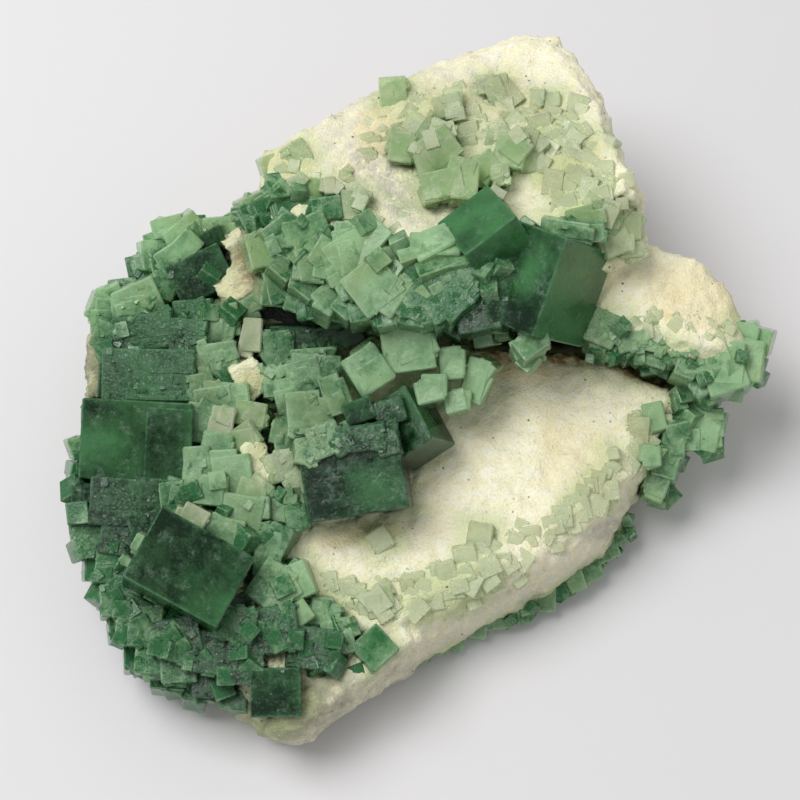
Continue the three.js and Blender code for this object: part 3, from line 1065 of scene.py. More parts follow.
class Grade(Enum):
    """The grades of fluorite on the specimen."""

    DEEP = Fluorite(
        "deep_green_fluorite",
        shade=(0.002, 0.032, 0.008), light=(0.10, 0.34, 0.12), edge_highlight=(0.24, 0.50, 0.30),
        warm=(0.05, 0.13, 0.04),
        painted_shade_colour=(0.0, 0.012, 0.003), dust=(0.20, 0.38, 0.24), frost=0.5, clear=0.6, rough=0.14,
        passed=(0.08, 0.64, 0.28), density=110.0,
    )
    GREEN = Fluorite(
        "green_fluorite",
        shade=(0.03, 0.19, 0.06), light=(0.46, 0.72, 0.40), edge_highlight=(0.60, 0.84, 0.54),
        warm=(0.34, 0.44, 0.17),
        painted_shade_colour=(0.0, 0.06, 0.015), dust=(0.50, 0.74, 0.46), frost=0.45, clear=0.5, rough=0.14,
        passed=(0.28, 0.78, 0.34), density=40.0,
    )
    PALE = Fluorite(
        "pale_fluorite",
        shade=(0.46, 0.68, 0.32), light=(0.90, 0.97, 0.68), edge_highlight=(0.88, 0.96, 0.76),
        warm=(0.66, 0.66, 0.34),
        painted_shade_colour=(0.14, 0.34, 0.08), dust=(0.90, 0.94, 0.76), frost=0.3, clear=0.6, rough=0.16,
        passed=(0.30, 0.82, 0.28), density=28.0,
    )

    @cached_property
    def material(self) -> bpy.types.Material:
        """The grade's material, built once."""
        return self.value.material()


@dataclass(frozen=True)
class Quartz:
    """The sugary quartz of the matrix.

    Attributes:
        name: Name of its material.
        cream: Its main colour.
        white: Colour of its whiter grains.
        grey: Colour where it is glassy and grey.
        earth: Colour of its broken sides.
        green: Colour of the rock that fluorite has tinted.
        yellow: Colour of the pale stains.
        rust: Colour of the rusty stains.
        black: Colour of the dark grains.
        glint: Colour of the painted glints on its grains.
        painted_shade_colour: Its painted shade colour in recesses and in the gap under the plate.
        refraction: Its index of refraction.
    """

    name: str = "quartz_matrix"
    cream: Colour = (0.94, 0.88, 0.58)
    white: Colour = (0.99, 0.98, 0.85)
    grey: Colour = (0.55, 0.53, 0.42)
    earth: Colour = (0.17, 0.17, 0.09)
    green: Colour = (0.46, 0.56, 0.24)
    yellow: Colour = (0.74, 0.58, 0.24)
    rust: Colour = (0.30, 0.17, 0.04)
    black: Colour = (0.04, 0.05, 0.02)
    glint: Colour = (1.0, 1.0, 0.95)
    painted_shade_colour: Colour = (0.02, 0.03, 0.01)
    refraction: float = 1.5

    # Sizes of its patterns, in millimetres.
    BROAD = 9.0
    PATCH = 2.4
    GLASS = 1.3
    SUGAR = 0.55
    FACET = 0.9
    FLECK = 1.7
    FLECK_FIELD = 12.0

    def colour(self, shader: Shader, at: Socket, patchy: Socket, sugar: Socket) -> Socket:
        """Mixes its colour, with painted shade in recesses and painted shadow in the gap under the plate.

        Args:
            shader: The shader.
            at: The place.
            patchy: Patches of larger grains.
            sugar: Fine grains.

        Returns:
            The colour.
        """
        green, yellow, rust = shader.painted("stains")
        grey, earthy, gap_shadow = shader.painted("wear_and_gap_shadow")
        recess_shade_mask = shader.painted("recess_shade")[0]
        broad = shader.cloud(at, self.BROAD, 3.0)
        glassy = shader.cloud(at, self.GLASS, 4.0, 0.7).ramped(0.5, 0.7)
        flecks = shader.specks(at, self.FLECK, 0.32, 0.5)
        fields = shader.cloud(at, self.FLECK_FIELD).ramped(0.45, 0.6)
        glints = shader.specks(at, self.FACET, 0.16, 0.2)

        white = patchy.ramped(0.4, 0.7) * 0.6 + sugar.ramped(0.42, 0.62) * 0.4
        colour = shader.mix(self.cream, self.white, white)
        colour = shader.mix(colour, self.grey, grey * patchy.ramped(0.25, 0.6) + glassy * 0.08)
        colour = shader.mix(colour, self.yellow, (yellow * (0.35 + patchy * 0.9)).clamped() * 0.75)
        colour = shader.mix(colour, self.green, (green * (0.45 + broad * 0.8)).clamped() * 0.9)
        colour = shader.mix(colour, self.rust, rust * patchy.ramped(0.32, 0.62))
        colour = shader.mix(colour, self.earth, earthy * (patchy.ramped(0.3, 0.62) * 0.4 + 0.45))
        colour = shader.mix(colour, self.earth, sugar.ramped(0.46, 0.3) * 0.14)
        colour = shader.mix(colour, self.black, flecks * fields * 0.85)
        # Painted glints.
        colour = shader.mix(colour, self.glint, glints * 0.6)
        # Painted shade in recesses and painted shadow in the gap under the plate.
        return shader.mix(colour, self.painted_shade_colour, (recess_shade_mask.ramped(0.42, 0.85) * 0.95).math("MAXIMUM", gap_shadow))

    def material(self) -> bpy.types.Material:
        """Builds the material."""
        shader = Shader(self.name)
        at = shader.place()
        patchy = shader.cloud(at, self.PATCH, 5.0, 0.65)
        sugar = shader.cloud(at, self.SUGAR, 3.0, 0.7)
        facets = shader.draws(at, self.FACET)
        surface = shader.node(
            "ShaderNodeBsdfPrincipled",
            {},
            {
                "Base Color": self.colour(shader, at, patchy, sugar),
                "Roughness": 0.62 + (facets - 0.5) * 0.4,
                "Normal": shader.relief(sugar * 0.55 + patchy * 0.7 + facets * 0.2, 0.8),
                "IOR": self.refraction,
            },
        )
        return shader.finish(surface)


# ------------------------------------------------------------------ shelter: painted shade in recesses


def spread_rays(count: int) -> tuple[Vector, ...]:
    """Directions spread round +Z, closer together the nearer they are to it."""
    made = []
    for i in range(count):
        share = (i + 0.5) / count
        turn = i * GOLDEN_TURN
        out = math.sqrt(share)
        made.append(Vector((out * math.cos(turn), out * math.sin(turn), math.sqrt(1.0 - share))))
    return tuple(made)


class RecessShade:
    """How far the surfaces are shut in by what stands round them, which the finishes paint as shade.

    Attributes:
        reach: How far off a wall still counts, in millimetres.
        start: How far off the surface the looks begin, in millimetres.
        rays: Directions that are looked in, round +Z.
        tree: The surfaces of every piece.
    """

    reach = 9.0
    start = 0.08
    rays = spread_rays(14)

    def __init__(self, pieces: Iterable[bpy.types.Object]) -> None:
        """Gathers the surfaces of the pieces."""
        self.tree = Ground(pieces).tree

    def paint(self, piece: bpy.types.Object) -> None:
        """Paints how far each corner is shut in, which the finishes turn into painted shade: 0 in the open,
        1 where it is shut in.
        """
        shade = piece.data.color_attributes.new("recess_shade", "FLOAT_COLOR", "POINT")
        for index, vertex in enumerate(piece.data.vertices):
            normal = vertex.normal
            stand = normal.to_track_quat("Z", "Y")
            start = vertex.co / MM + normal * self.start
            recess_shade_mask = 0.0
            for ray in self.rays:
                way = stand @ ray
                _, wall, _, distance = self.tree.ray_cast(start, way, self.reach)
                # A wall seen from behind belongs to a piece that this corner is buried in. A wall at
                # the end of the reach counts half.
                if distance is not None and wall.dot(way) < 0.0:
                    recess_shade_mask += 1.0 - 0.5 * distance / self.reach
            recess_shade_mask /= len(self.rays)
            shade.data[index].color = (recess_shade_mask, recess_shade_mask, recess_shade_mask, 1.0)


# ------------------------------------------------------------------ making pieces


def show(name: str, mesh: bpy.types.Mesh) -> bpy.types.Object:
    """Puts a mesh in the scene as an object at the origin."""
    piece = bpy.data.objects.new(name, mesh)
    bpy.context.scene.collection.objects.link(piece)
    return piece


def read_back(piece: bpy.types.Object) -> bpy.types.Mesh:
    """Makes a mesh of an object as its modifiers leave it."""
    graph = bpy.context.evaluated_depsgraph_get()
    return bpy.data.meshes.new_from_object(piece.evaluated_get(graph))


# What trims the crystals at the base: a block whose top is at the height of the lowest crystal.
UNDERGROUND_SIZE = (300.0, 300.0, 60.0)
UNDERGROUND = Block(
    UNDERGROUND_SIZE, Matrix.Translation((0.0, 0.0, LOWEST_CRYSTAL - UNDERGROUND_SIZE[2] / 2))
)


def grown_together(name: str, blocks: list[Block]) -> bpy.types.Object:
    """Joins blocks in one closed solid, as crystals that have grown together.

    Args:
        name: Name of the piece.
        blocks: The blocks.

    Returns:
        The piece.
    """
    first = show(name, blocks[0].mesh())
    others = bpy.data.collections.new(name + "_blocks")
    bpy.context.scene.collection.children.link(others)
    for block in blocks[1:]:
        others.objects.link(bpy.data.objects.new("block", block.mesh()))
    if others.objects:
        join = first.modifiers.new("join", "BOOLEAN")
        join.operation = "UNION"
        join.operand_type = "COLLECTION"
        join.collection = others
        join.solver = "MANIFOLD"
    below = bpy.data.objects.new("below", UNDERGROUND.mesh())
    trim = first.modifiers.new("trim", "BOOLEAN")
    trim.operation = "DIFFERENCE"
    trim.object = below
    trim.solver = "MANIFOLD"
    solid = read_back(first)
    first.modifiers.clear()
    bpy.data.meshes.remove(below.data)
    for block in list(others.objects):
        bpy.data.meshes.remove(block.data)
    bpy.data.collections.remove(others)
    first.data = solid
    return first


def settle(piece: bpy.types.Object, material: bpy.types.Material, slot: str, nodes: Iterable[str]) -> None:
    """Dresses a piece and gives it its place in the frame.

    Args:
        piece: The piece.
        material: Its material.
        slot: The record's material slot; not used.
        nodes: The solids that it stands for.
    """
    piece.data.materials.clear()
    piece.data.materials.append(material)
    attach(piece, BODY)
    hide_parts(*nodes)
    LOG.info("%s: %d faces", piece.name, len(piece.data.polygons))


@dataclass
class Crust:
    """Cubes of one grade that have grown together.

    Attributes:
        name: Name of the piece.
        nodes: The solids that it stands for.
        slot: The record's material slot.
        grade: The grade of its fluorite.
        cubes: Its crystals.
        runs: Runs of smaller cubes.
        patches: Patches of small cubes on what the eye sees.
        mantles: Small cubes on its other sides.
        seed: Seed of the growth steps.
        twins: Number of crystals that have grown through each of its crystals.
    """

    name: str
    nodes: tuple[str, ...]
    slot: str
    grade: Grade
    cubes: tuple[Cube, ...] = ()
    runs: tuple[Run, ...] = ()
    patches: tuple[Patch, ...] = ()
    mantles: tuple[Mantle, ...] = ()
    seed: int = 1
    twins: int = 0

    def build(self, ground: Ground) -> bpy.types.Object:
        """Grows and dresses the crust.

        Args:
            ground: The solids that small cubes land on.

        Returns:
            The piece.
        """
        cubes = [*self.cubes]
        for run in self.runs:
            cubes += run.cubes()
        blocks: list[Block] = []
        for number, cube in enumerate(cubes):
            blocks += cube.blocks(self.seed * SEEDS_APART + number, self.twins)
        for patch in self.patches:
            blocks += patch.blocks(ground)
        for mantle in self.mantles:
            blocks += mantle.blocks(ground)
        piece = grown_together(self.name, blocks)
        settle(piece, self.grade.material, self.slot, self.nodes)
        return piece


# ------------------------------------------------------------------ the crystals
#
# A cube gives across, up, height, width, length, depth, tip, swing, spin, tone, steps and tiny cubes, in
# that order, and a few give their painted glow and their painted face light after them.


def left_crusts() -> list[Crust]:
    """The dark cubes at the left and the crust round them."""
    deep = Crust(
        "left_dark_crystals", ("lower_crust",), "dark_fluorite", Grade.DEEP, seed=1,
        cubes=(
            # The broad cubes, with painted glows in them.
            Cube(-53, -8.2, 36, 21.6, 15.8, 17, 0, 1, -3, 0.42, 0, 0, PaintedGlow(side=-0.9, end=-0.1)),
            Cube(-46.4, -9, 36.1, 9.2, 14.4, 16, 0, 1, -3, 0.3),
            Cube(-43.9, -8.8, 35.5, 4.4, 14.2, 14, 0, 3, -4, 0.62, 0, 4),
            Cube(-42.2, -33.4, 38, 20.4, 15.4, 15, -12, 8, -28, 0.3, 0, 0, PaintedGlow(1, -1, -0.5, 0.9)),
            # Above them.
            Cube(-50.4, 5, 35, 18.6, 10.4, 15, 2, 1, -1, 0.75, 1, 50),
            Cube(-57.6, 5, 33.6, 5.6, 9.4, 12, 2, 8, -3, 0.85, 1, 14),
            Cube(-51.6, 13.4, 34.4, 12, 7, 12, 4, 0, 6, 0.75, 1, 50),
            Cube(-42.6, 12.8, 34.6, 7.4, 7, 10, 2, -2, -4, 0.75, 1, 30),
            Cube(-41.6, 17.8, 34, 8, 4.6, 9, 4, -2, 4, 0.85, 1, 34),
            Cube(-40, 25, 34, 12, 9, 12, 6, 2, 26, 0.28, 0, 8),
            Cube(-37.6, 32, 33.4, 5, 4.4, 8, 6, 0, 30, 0.25),
            # Between and below them.
            Cube(-55, -20.6, 33, 14, 9.4, 13, 0, 3, -4, 0.22, 1, 40),
            Cube(-62.8, -21, 30.5, 6, 8.6, 12, -4, 10, -3, 0.3, 1, 12),
            Cube(-49.2, -19.8, 33.6, 6, 8, 10, 0, 2, -6, 0.35, 0, 16),
            Cube(-56, -27.6, 30, 8, 7, 11, -4, 4, -8, 0.3, 1, 30),
            Cube(-50.6, -25.8, 33, 6.6, 6, 9, -2, 4, 20, 0.2, 0, 14),
            Cube(-44.6, -47.4, 28, 9, 7.4, 10, -8, 3, 12, 0.2, 1, 34),
            Cube(-38.4, -50.4, 26.4, 9.4, 8, 11, -8, 2, -6, 0.3, 1, 44),
            Cube(-38, -56.8, 20.4, 7.4, 5, 10, -12, 0, 4, 0.3, 1, 12),
            Cube(-33, -44.8, 30, 8, 7, 10, -8, 2, -12, 0.4, 1, 34),
            Cube(-31, -52.4, 26.6, 7, 9, 10, -6, 2, -4, 0.3, 1, 30),
            Cube(-25.6, -46, 28.4, 10, 9, 10, -6, -2, 8, 0.35, 1, 60),
            Cube(-17.6, -49.8, 26, 10, 8, 9, -8, -2, -6, 0.4, 1, 50),
        ),
    )
    green = Crust(
        "left_green_crystals", ("lower_crust",), "dark_fluorite", Grade.GREEN, seed=2, twins=2,
        cubes=(
            # The top left.
            Cube(-46.6, 34.6, 30, 6.8, 4.2, 8, 8, -4, 14, 0.95),
            Cube(-43, 32.4, 31, 8, 5.4, 8, 6, 4, 20, 1),
            Cube(-44.4, 29, 33, 9, 5.6, 9, 8, 6, 32, 0.75),
            Cube(-49.8, 29, 27, 3.8, 6.4, 8, 2, 14, 6, 1),
            Cube(-48, 27.4, 30, 4, 6, 8, 4, 8, 10, 0.6),
            Cube(-48, 31.2, 27.5, 6, 6, 8, 4, 4, 20, 0.4),
            Cube(-36.4, 34.4, 31.5, 6.4, 4.6, 8, 6, 0, 4, 0.85, 1, 6),
            Cube(-32.6, 36, 30, 5, 4.4, 8, 6, -4, 30, 0.65, 1, 8),
            Cube(-41, 34.8, 30.4, 4.6, 3.2, 7, 8, 0, -6, 0.9),
            Cube(-52.4, 19.6, 31.5, 9.4, 7.6, 11, 8, 2, 24, 0.65, 0, 8),
            Cube(-57.8, 17.2, 28.6, 6.6, 6.6, 11, 4, 8, -2, 0.65, 0, 6),
            Cube(-58, 21.2, 27, 5, 3, 9, 8, 8, 24, 1),
            Cube(-60.6, 17.2, 24, 3, 3.4, 8, 4, 12, 40, 0.9),
            Cube(-47.2, 22.6, 31.6, 5, 5, 8, 6, 2, -20, 0.4),
            Cube(-57.4, 11.6, 31.6, 6.4, 6, 10, 4, 8, -4, 0.35, 1, 16),
            # The left flank.
            Cube(-61.4, -28, 27.5, 7.4, 6.6, 11, -6, 12, 10, 0.05, 1, 30),
            Cube(-64.4, -9.6, 26, 3.4, 4.4, 9, 0, 14, 20, 0.35),
            Cube(-64.2, -14.6, 25, 3.6, 4, 9, -2, 14, -8, 0.25),
            Cube(-57.6, -34, 27, 7, 6, 10, -8, 8, -12, 0, 1, 20),
            Cube(-60.8, -34, 23.6, 4.6, 4.4, 9, -6, 12, 0, 0.1, 1, 6),
            Cube(-56.2, -40, 25.6, 7.6, 6.4, 10, -10, 8, 4, -0.05, 1, 20),
            Cube(-57.6, -39.2, 21, 4.6, 5, 9, -10, 12, -6, 0, 0, 4),
            Cube(-52.2, -45.2, 25.6, 9, 8, 10, -10, 6, -6, 0.05, 1, 24),
            Cube(-56, -45.8, 20, 4.4, 4.6, 9, -12, 10, 8, 0.05, 0, 4),
            Cube(-49.2, -51.6, 23, 7.6, 6.4, 10, -12, 4, -4, 0.15, 1, 10),
            Cube(-53, -51.6, 17.6, 4.4, 4.6, 9, -14, 8, 4, 0),
            Cube(-44.4, -53.4, 23, 7, 6, 10, -12, 2, 4, -0.1, 1, 16),
            Cube(-46.4, -56, 16, 7, 4, 9, -16, 4, -4, -0.1, 0, 6),
            Cube(-41.4, -58, 14.6, 5, 3.6, 8, -16, 2, -2, -0.05),
            Cube(-33.4, -59.8, 17.4, 5.6, 4, 9, -12, -2, -3, -0.05),
            # Pale pieces beside the lower broad cube.
            Cube(-52.2, -28.8, 34.6, 2.8, 3.6, 6, 4, -6, -28, 0.85),
            Cube(-54.8, -32.4, 33.6, 3, 1.6, 5, 4, 0, -38, 0.75),
            Cube(-53.8, -35, 33, 1.8, 3, 5, 0, 0, -12, 0.75),
            Cube(-45.6, -19.6, 34, 5, 6.4, 8, 0, 0, 6, 0.4, 0, 4),
            # Right of it.
            Cube(-26.6, -31, 31, 5.4, 9, 9, -2, -4, -4, 0.35, 0, 6),
            Cube(-26, -37, 30, 7, 9, 9, -4, -4, -36, 0.4, 0, 10),
            Cube(-21.6, -36.6, 29.6, 7.4, 7, 8, -4, -6, 22, 0.7),
            Cube(-24.6, -41, 29, 5, 7, 8, -4, -4, -20, 0.7, 0, 4),
            Cube(-20.2, -42.8, 28, 4.6, 4.6, 7, -4, -4, 36, 0.85),
            Cube(-12.4, -47.4, 25, 6, 7, 8, -8, 0, 12, 0.35, 0, 16),
            Cube(-15, -43, 26, 6, 5, 7, -4, 0, -12, 0.6, 0, 10),
        ),
        runs=(
            Run(
                ((-56, 16, 20), (-57, 6, 20), (-58.5, -9, 20), (-58.5, -21, 18), (-56, -31, 17)),
                count=8, size=(7.5, 9), depth=13, tilt=(8, 12, 30), seed=11, tone=(0.0, 0.35),
            ),
            Run(
                ((-56, -36, 15), (-51, -45, 14.5), (-44, -51.5, 13.5), (-37, -54.5, 13), (-30, -57, 13)),
                count=7, size=(7.5, 8.5), depth=12, tilt=(10, 8, 20), seed=23, tone=(-0.2, 0.15),
            ),
            Run(
                ((-56, 19, 21), (-49, 27, 23), (-44, 30, 25), (-37, 31, 27)),
                count=5, size=(7, 8.5), depth=13, tilt=(10, 10, 30), seed=37,
            ),
        ),
        patches=(
            Patch(
                ((-60, -30), (-55, -42), (-46, -50), (-34, -56)),
                reach=3.0, count=40, size=(2.0, 4.4), seed=201, tone=(-0.3, 0.05), sunk=0.95,
            ),
            Patch(
                ((-58, 12), (-52, 22), (-44, 30)),
                reach=3.0, count=20, size=(1.6, 3.4), seed=202, tone=(0.3, 0.6),
            ),
            Patch(
                ((-34, -44), (-22, -46), (-12, -50)),
                reach=4.5, count=36, size=(1.6, 4.0), seed=203, tone=(-0.2, 0.15), sunk=0.95,
            ),
        ),
        mantles=(Mantle(("lower_crust",), count=320, size=(2.2, 4.6), seed=205, tone=(-0.3, 0.1)),),
    )
    return [deep, green]


def vein_crusts() -> list[Crust]:
    """The pale crystals between the left crust and the centre."""
    green = Crust(
        "vein_green_crystals", ("lower_crust",), "pale_fluorite", Grade.GREEN, seed=3, twins=2,
        cubes=(
            Cube(-40.4, -4.6, 35, 5, 8, 9, 0, 3, -8, 0.6, 0, 4),
            Cube(-40.6, -13, 34.8, 5.4, 7.4, 8, 0, 0, 4, 0.65, 0, 4),
            Cube(-36.4, 7, 34.4, 8, 9, 9, 2, 0, 8, 0.65, 0, 8),
            Cube(-36.4, 15, 34.4, 7, 7, 9, 3, -1, -10, 0.7, 0, 8),
            Cube(-35.4, 0.6, 34.4, 8.4, 6, 9, 0, 2, -6, 0.7, 0, 4),
            Cube(-39.6, 2.4, 34.2, 5, 6, 8, 0, 2, 10, 0.45, 0, 6),
            Cube(-31.4, 17.6, 34, 6, 5, 8, 3, -2, 24, 0.55),
            Cube(-37, -10, 35, 6, 7, 8, 0, 0, -12, 0.7, 0, 4),
            Cube(-33.6, -15.4, 34, 8, 8.4, 8, 0, -1, 8, 0.8),
            Cube(-39, -18, 35, 7.4, 6, 8, -1, 1, -6, 0.75),
            Cube(-31.8, -22.6, 33, 8.4, 7, 8, -1, -2, -10, 0.75, 0, 4),
            Cube(-24.4, -21.4, 31.8, 7.4, 6, 8, -1, -3, -8, 0.85),
            Cube(-22.4, -7.6, 33.6, 6, 7, 8, 0, -1, 8, 0.65),
            Cube(-24, 3.4, 33.6, 7, 6, 8, 2, 0, -14, 0.75),
            Cube(-24.6, 10.4, 33.4, 6, 7, 8, 3, 0, 6, 0.5, 0, 6),
            Cube(-34.6, -26.8, 33.8, 9, 5, 8, -2, 0, -30, 0.7),
            Cube(-27.6, -27, 31.4, 7, 4, 8, -2, -2, 8, 0.4, 0, 12),
        ),
        patches=(
            Patch(
                ((-37, 16), (-37, 4), (-38, -8), (-38, -20)),
                reach=3.5, count=36, size=(1.4, 3.6), seed=301, tone=(0.5, 0.8),
            ),
            Patch(
                ((-27, 8), (-24, -6), (-25, -20)),
                reach=3.5, count=30, size=(1.4, 3.6), seed=302, tone=(0.5, 0.8),
            ),
        ),
    )
    pale = Crust(
        "vein_pale_crystals", ("lower_crust",), "pale_fluorite", Grade.PALE, seed=4, twins=2,
        cubes=(
            Cube(-29.6, 13, 35, 3.9, 6.9, 8, 2, -2, -3, 1.0),
            Cube(-35.6, -4.4, 35.6, 4.6, 6.2, 8, -1, 3, -8, 0.7),
            Cube(-41.2, -23.4, 36, 5.4, 4.2, 8, -2, 2, -28, 0.7),
            Cube(-30, -2.8, 34.6, 6.4, 5, 7, 0, 0, -10, 0.1),
            Cube(-32, -9.2, 34, 6.4, 6.4, 7, 0, 0, 12, 0.1),
            Cube(-30, -18.4, 33.4, 5.4, 5, 7, 0, -2, -18, 0.2),
            Cube(-24, -13.4, 33, 6, 6, 7, 0, -2, 18, 0.6, 0, 10),
            Cube(-21, -17, 33, 4, 4, 7, 0, -2, 38, 0.5, 0, 6),
        ),
    )
    return [green, pale]


def centre_crusts() -> list[Crust]:
    """The cluster in the middle, over the field."""
    deep = Crust(
        "centre_dark_crystals", ("centre_cluster",), "dark_fluorite", Grade.DEEP, seed=5,
        cubes=(
            # The broad cube and the one right of it, each with a painted glow in it.
            Cube(-9.6, -14.2, 39.4, 19.8, 17.2, 14, -3, -4, 9, 0.1, 0, 4, PaintedGlow(side=0.4, end=-0.45)),
            Cube(-0.6, -5, 38, 10.4, 12.4, 12, -8, -24, 29, 0.35, 0, 0, PaintedGlow(0, 1, -0.2, 0.6)),
            Cube(-6.6, -7.6, 42.8, 7, 5, 10, -4, -3, 6, 0.45, 0, 26),
            Cube(-11.4, -8.2, 42.4, 5.4, 5, 10, -2, -5, 34, 0.5, 0, 24),
            Cube(-2.6, -8.4, 42.4, 4.6, 5.4, 10, -6, -6, 16, 0.35, 0, 14),
            Cube(-2.4, -6.6, 40, 4.4, 5.4, 10, -4, -4, 10, 0.25, 0, 6),
            Cube(-8.2, -2.2, 41.4, 6, 4.6, 9, -8, 2, 20, 0.3, 0, 2),
            Cube(-2, -2.2, 41, 6, 5, 9, -8, -2, 16, 0.35, 0, 4),
            Cube(-21.4, 11.4, 32.4, 10, 6.6, 9, 6, 0, -2, 0.45, 0, 20),
            Cube(-13.6, 12.6, 34, 6.4, 5, 8, 8, 0, 12, 0.3, 0, 8),
            Cube(-9.6, 12.8, 36, 5, 4, 8, 6, 0, 20, 0.3),
            # The foot of the hollow under the raised plate, toned darkest as painted shade in the hollow.
            Cube(-22, 19, 27, 13, 9, 8, 0, 0, -12, -0.6),
            Cube(-16, 16.6, 28, 9, 7, 8, 4, 0, 20, -0.6),
            Cube(-27.4, 22, 28, 6, 8, 8, 0, 0, 10, -0.6),
        ),
    )
    green = Crust(
        "centre_green_crystals", ("centre_cluster",), "pale_fluorite", Grade.GREEN, seed=6, twins=2,
        cubes=(
            Cube(-6.4, 6, 43, 7.6, 8.4, 10, -2, 4, 32, 0.85, 0, 3),
            Cube(1.6, 10, 43.4, 10.2, 8.6, 10, 3, -4, 8, 0.95, 0, 2),
            Cube(10.1, 7.4, 41, 4.8, 6.6, 9, 2, -8, 6, 1.05),
            Cube(15, 4.2, 38.4, 4.8, 8.4, 10, 2, -10, -16, 1.15),
            Cube(5.8, 1.8, 41.2, 5.6, 4.6, 8, -8, -4, 14, 0.65),
            Cube(11, -0.2, 38, 4.6, 4.6, 8, -6, -6, 12, 0.9),
            Cube(-15, -8, 42.4, 6.4, 6.4, 10, -2, 3, 22, 0.55, 0, 34),
            Cube(-18.4, -10.6, 40.8, 4.6, 5, 9, -3, 4, -14, 0.6, 0, 16),
            Cube(-17, 4.6, 36, 10, 9, 9, 2, 2, -4, 0.65, 0, 14),
            Cube(-17.4, 8.4, 35.4, 9, 4, 8, 2, 0, 4, 0.55, 0, 12),
            Cube(-17.6, -3.6, 36.6, 9, 8.4, 9, 0, 3, -6, 0.75, 0, 8),
            Cube(-16.8, -9, 37.4, 6.4, 6, 8, -4, 3, 42, 0.7),
            Cube(-22, 1, 34.6, 5.4, 7, 8, 0, 3, 10, 0.8),
            Cube(-12.4, 0.6, 38.4, 5, 7, 9, -2, 3, 20, 0.55),
            Cube(-20.6, -23.6, 31.4, 4.4, 5, 8, 0, -2, 12, 0.25, 0, 8),
        ),
        patches=(
            Patch(
                ((-22, 8), (-15, 4), (-14, -6)),
                reach=3.5, count=24, size=(1.2, 3.0), seed=501, tone=(0.4, 0.8),
            ),
        ),
    )
    return [deep, green]


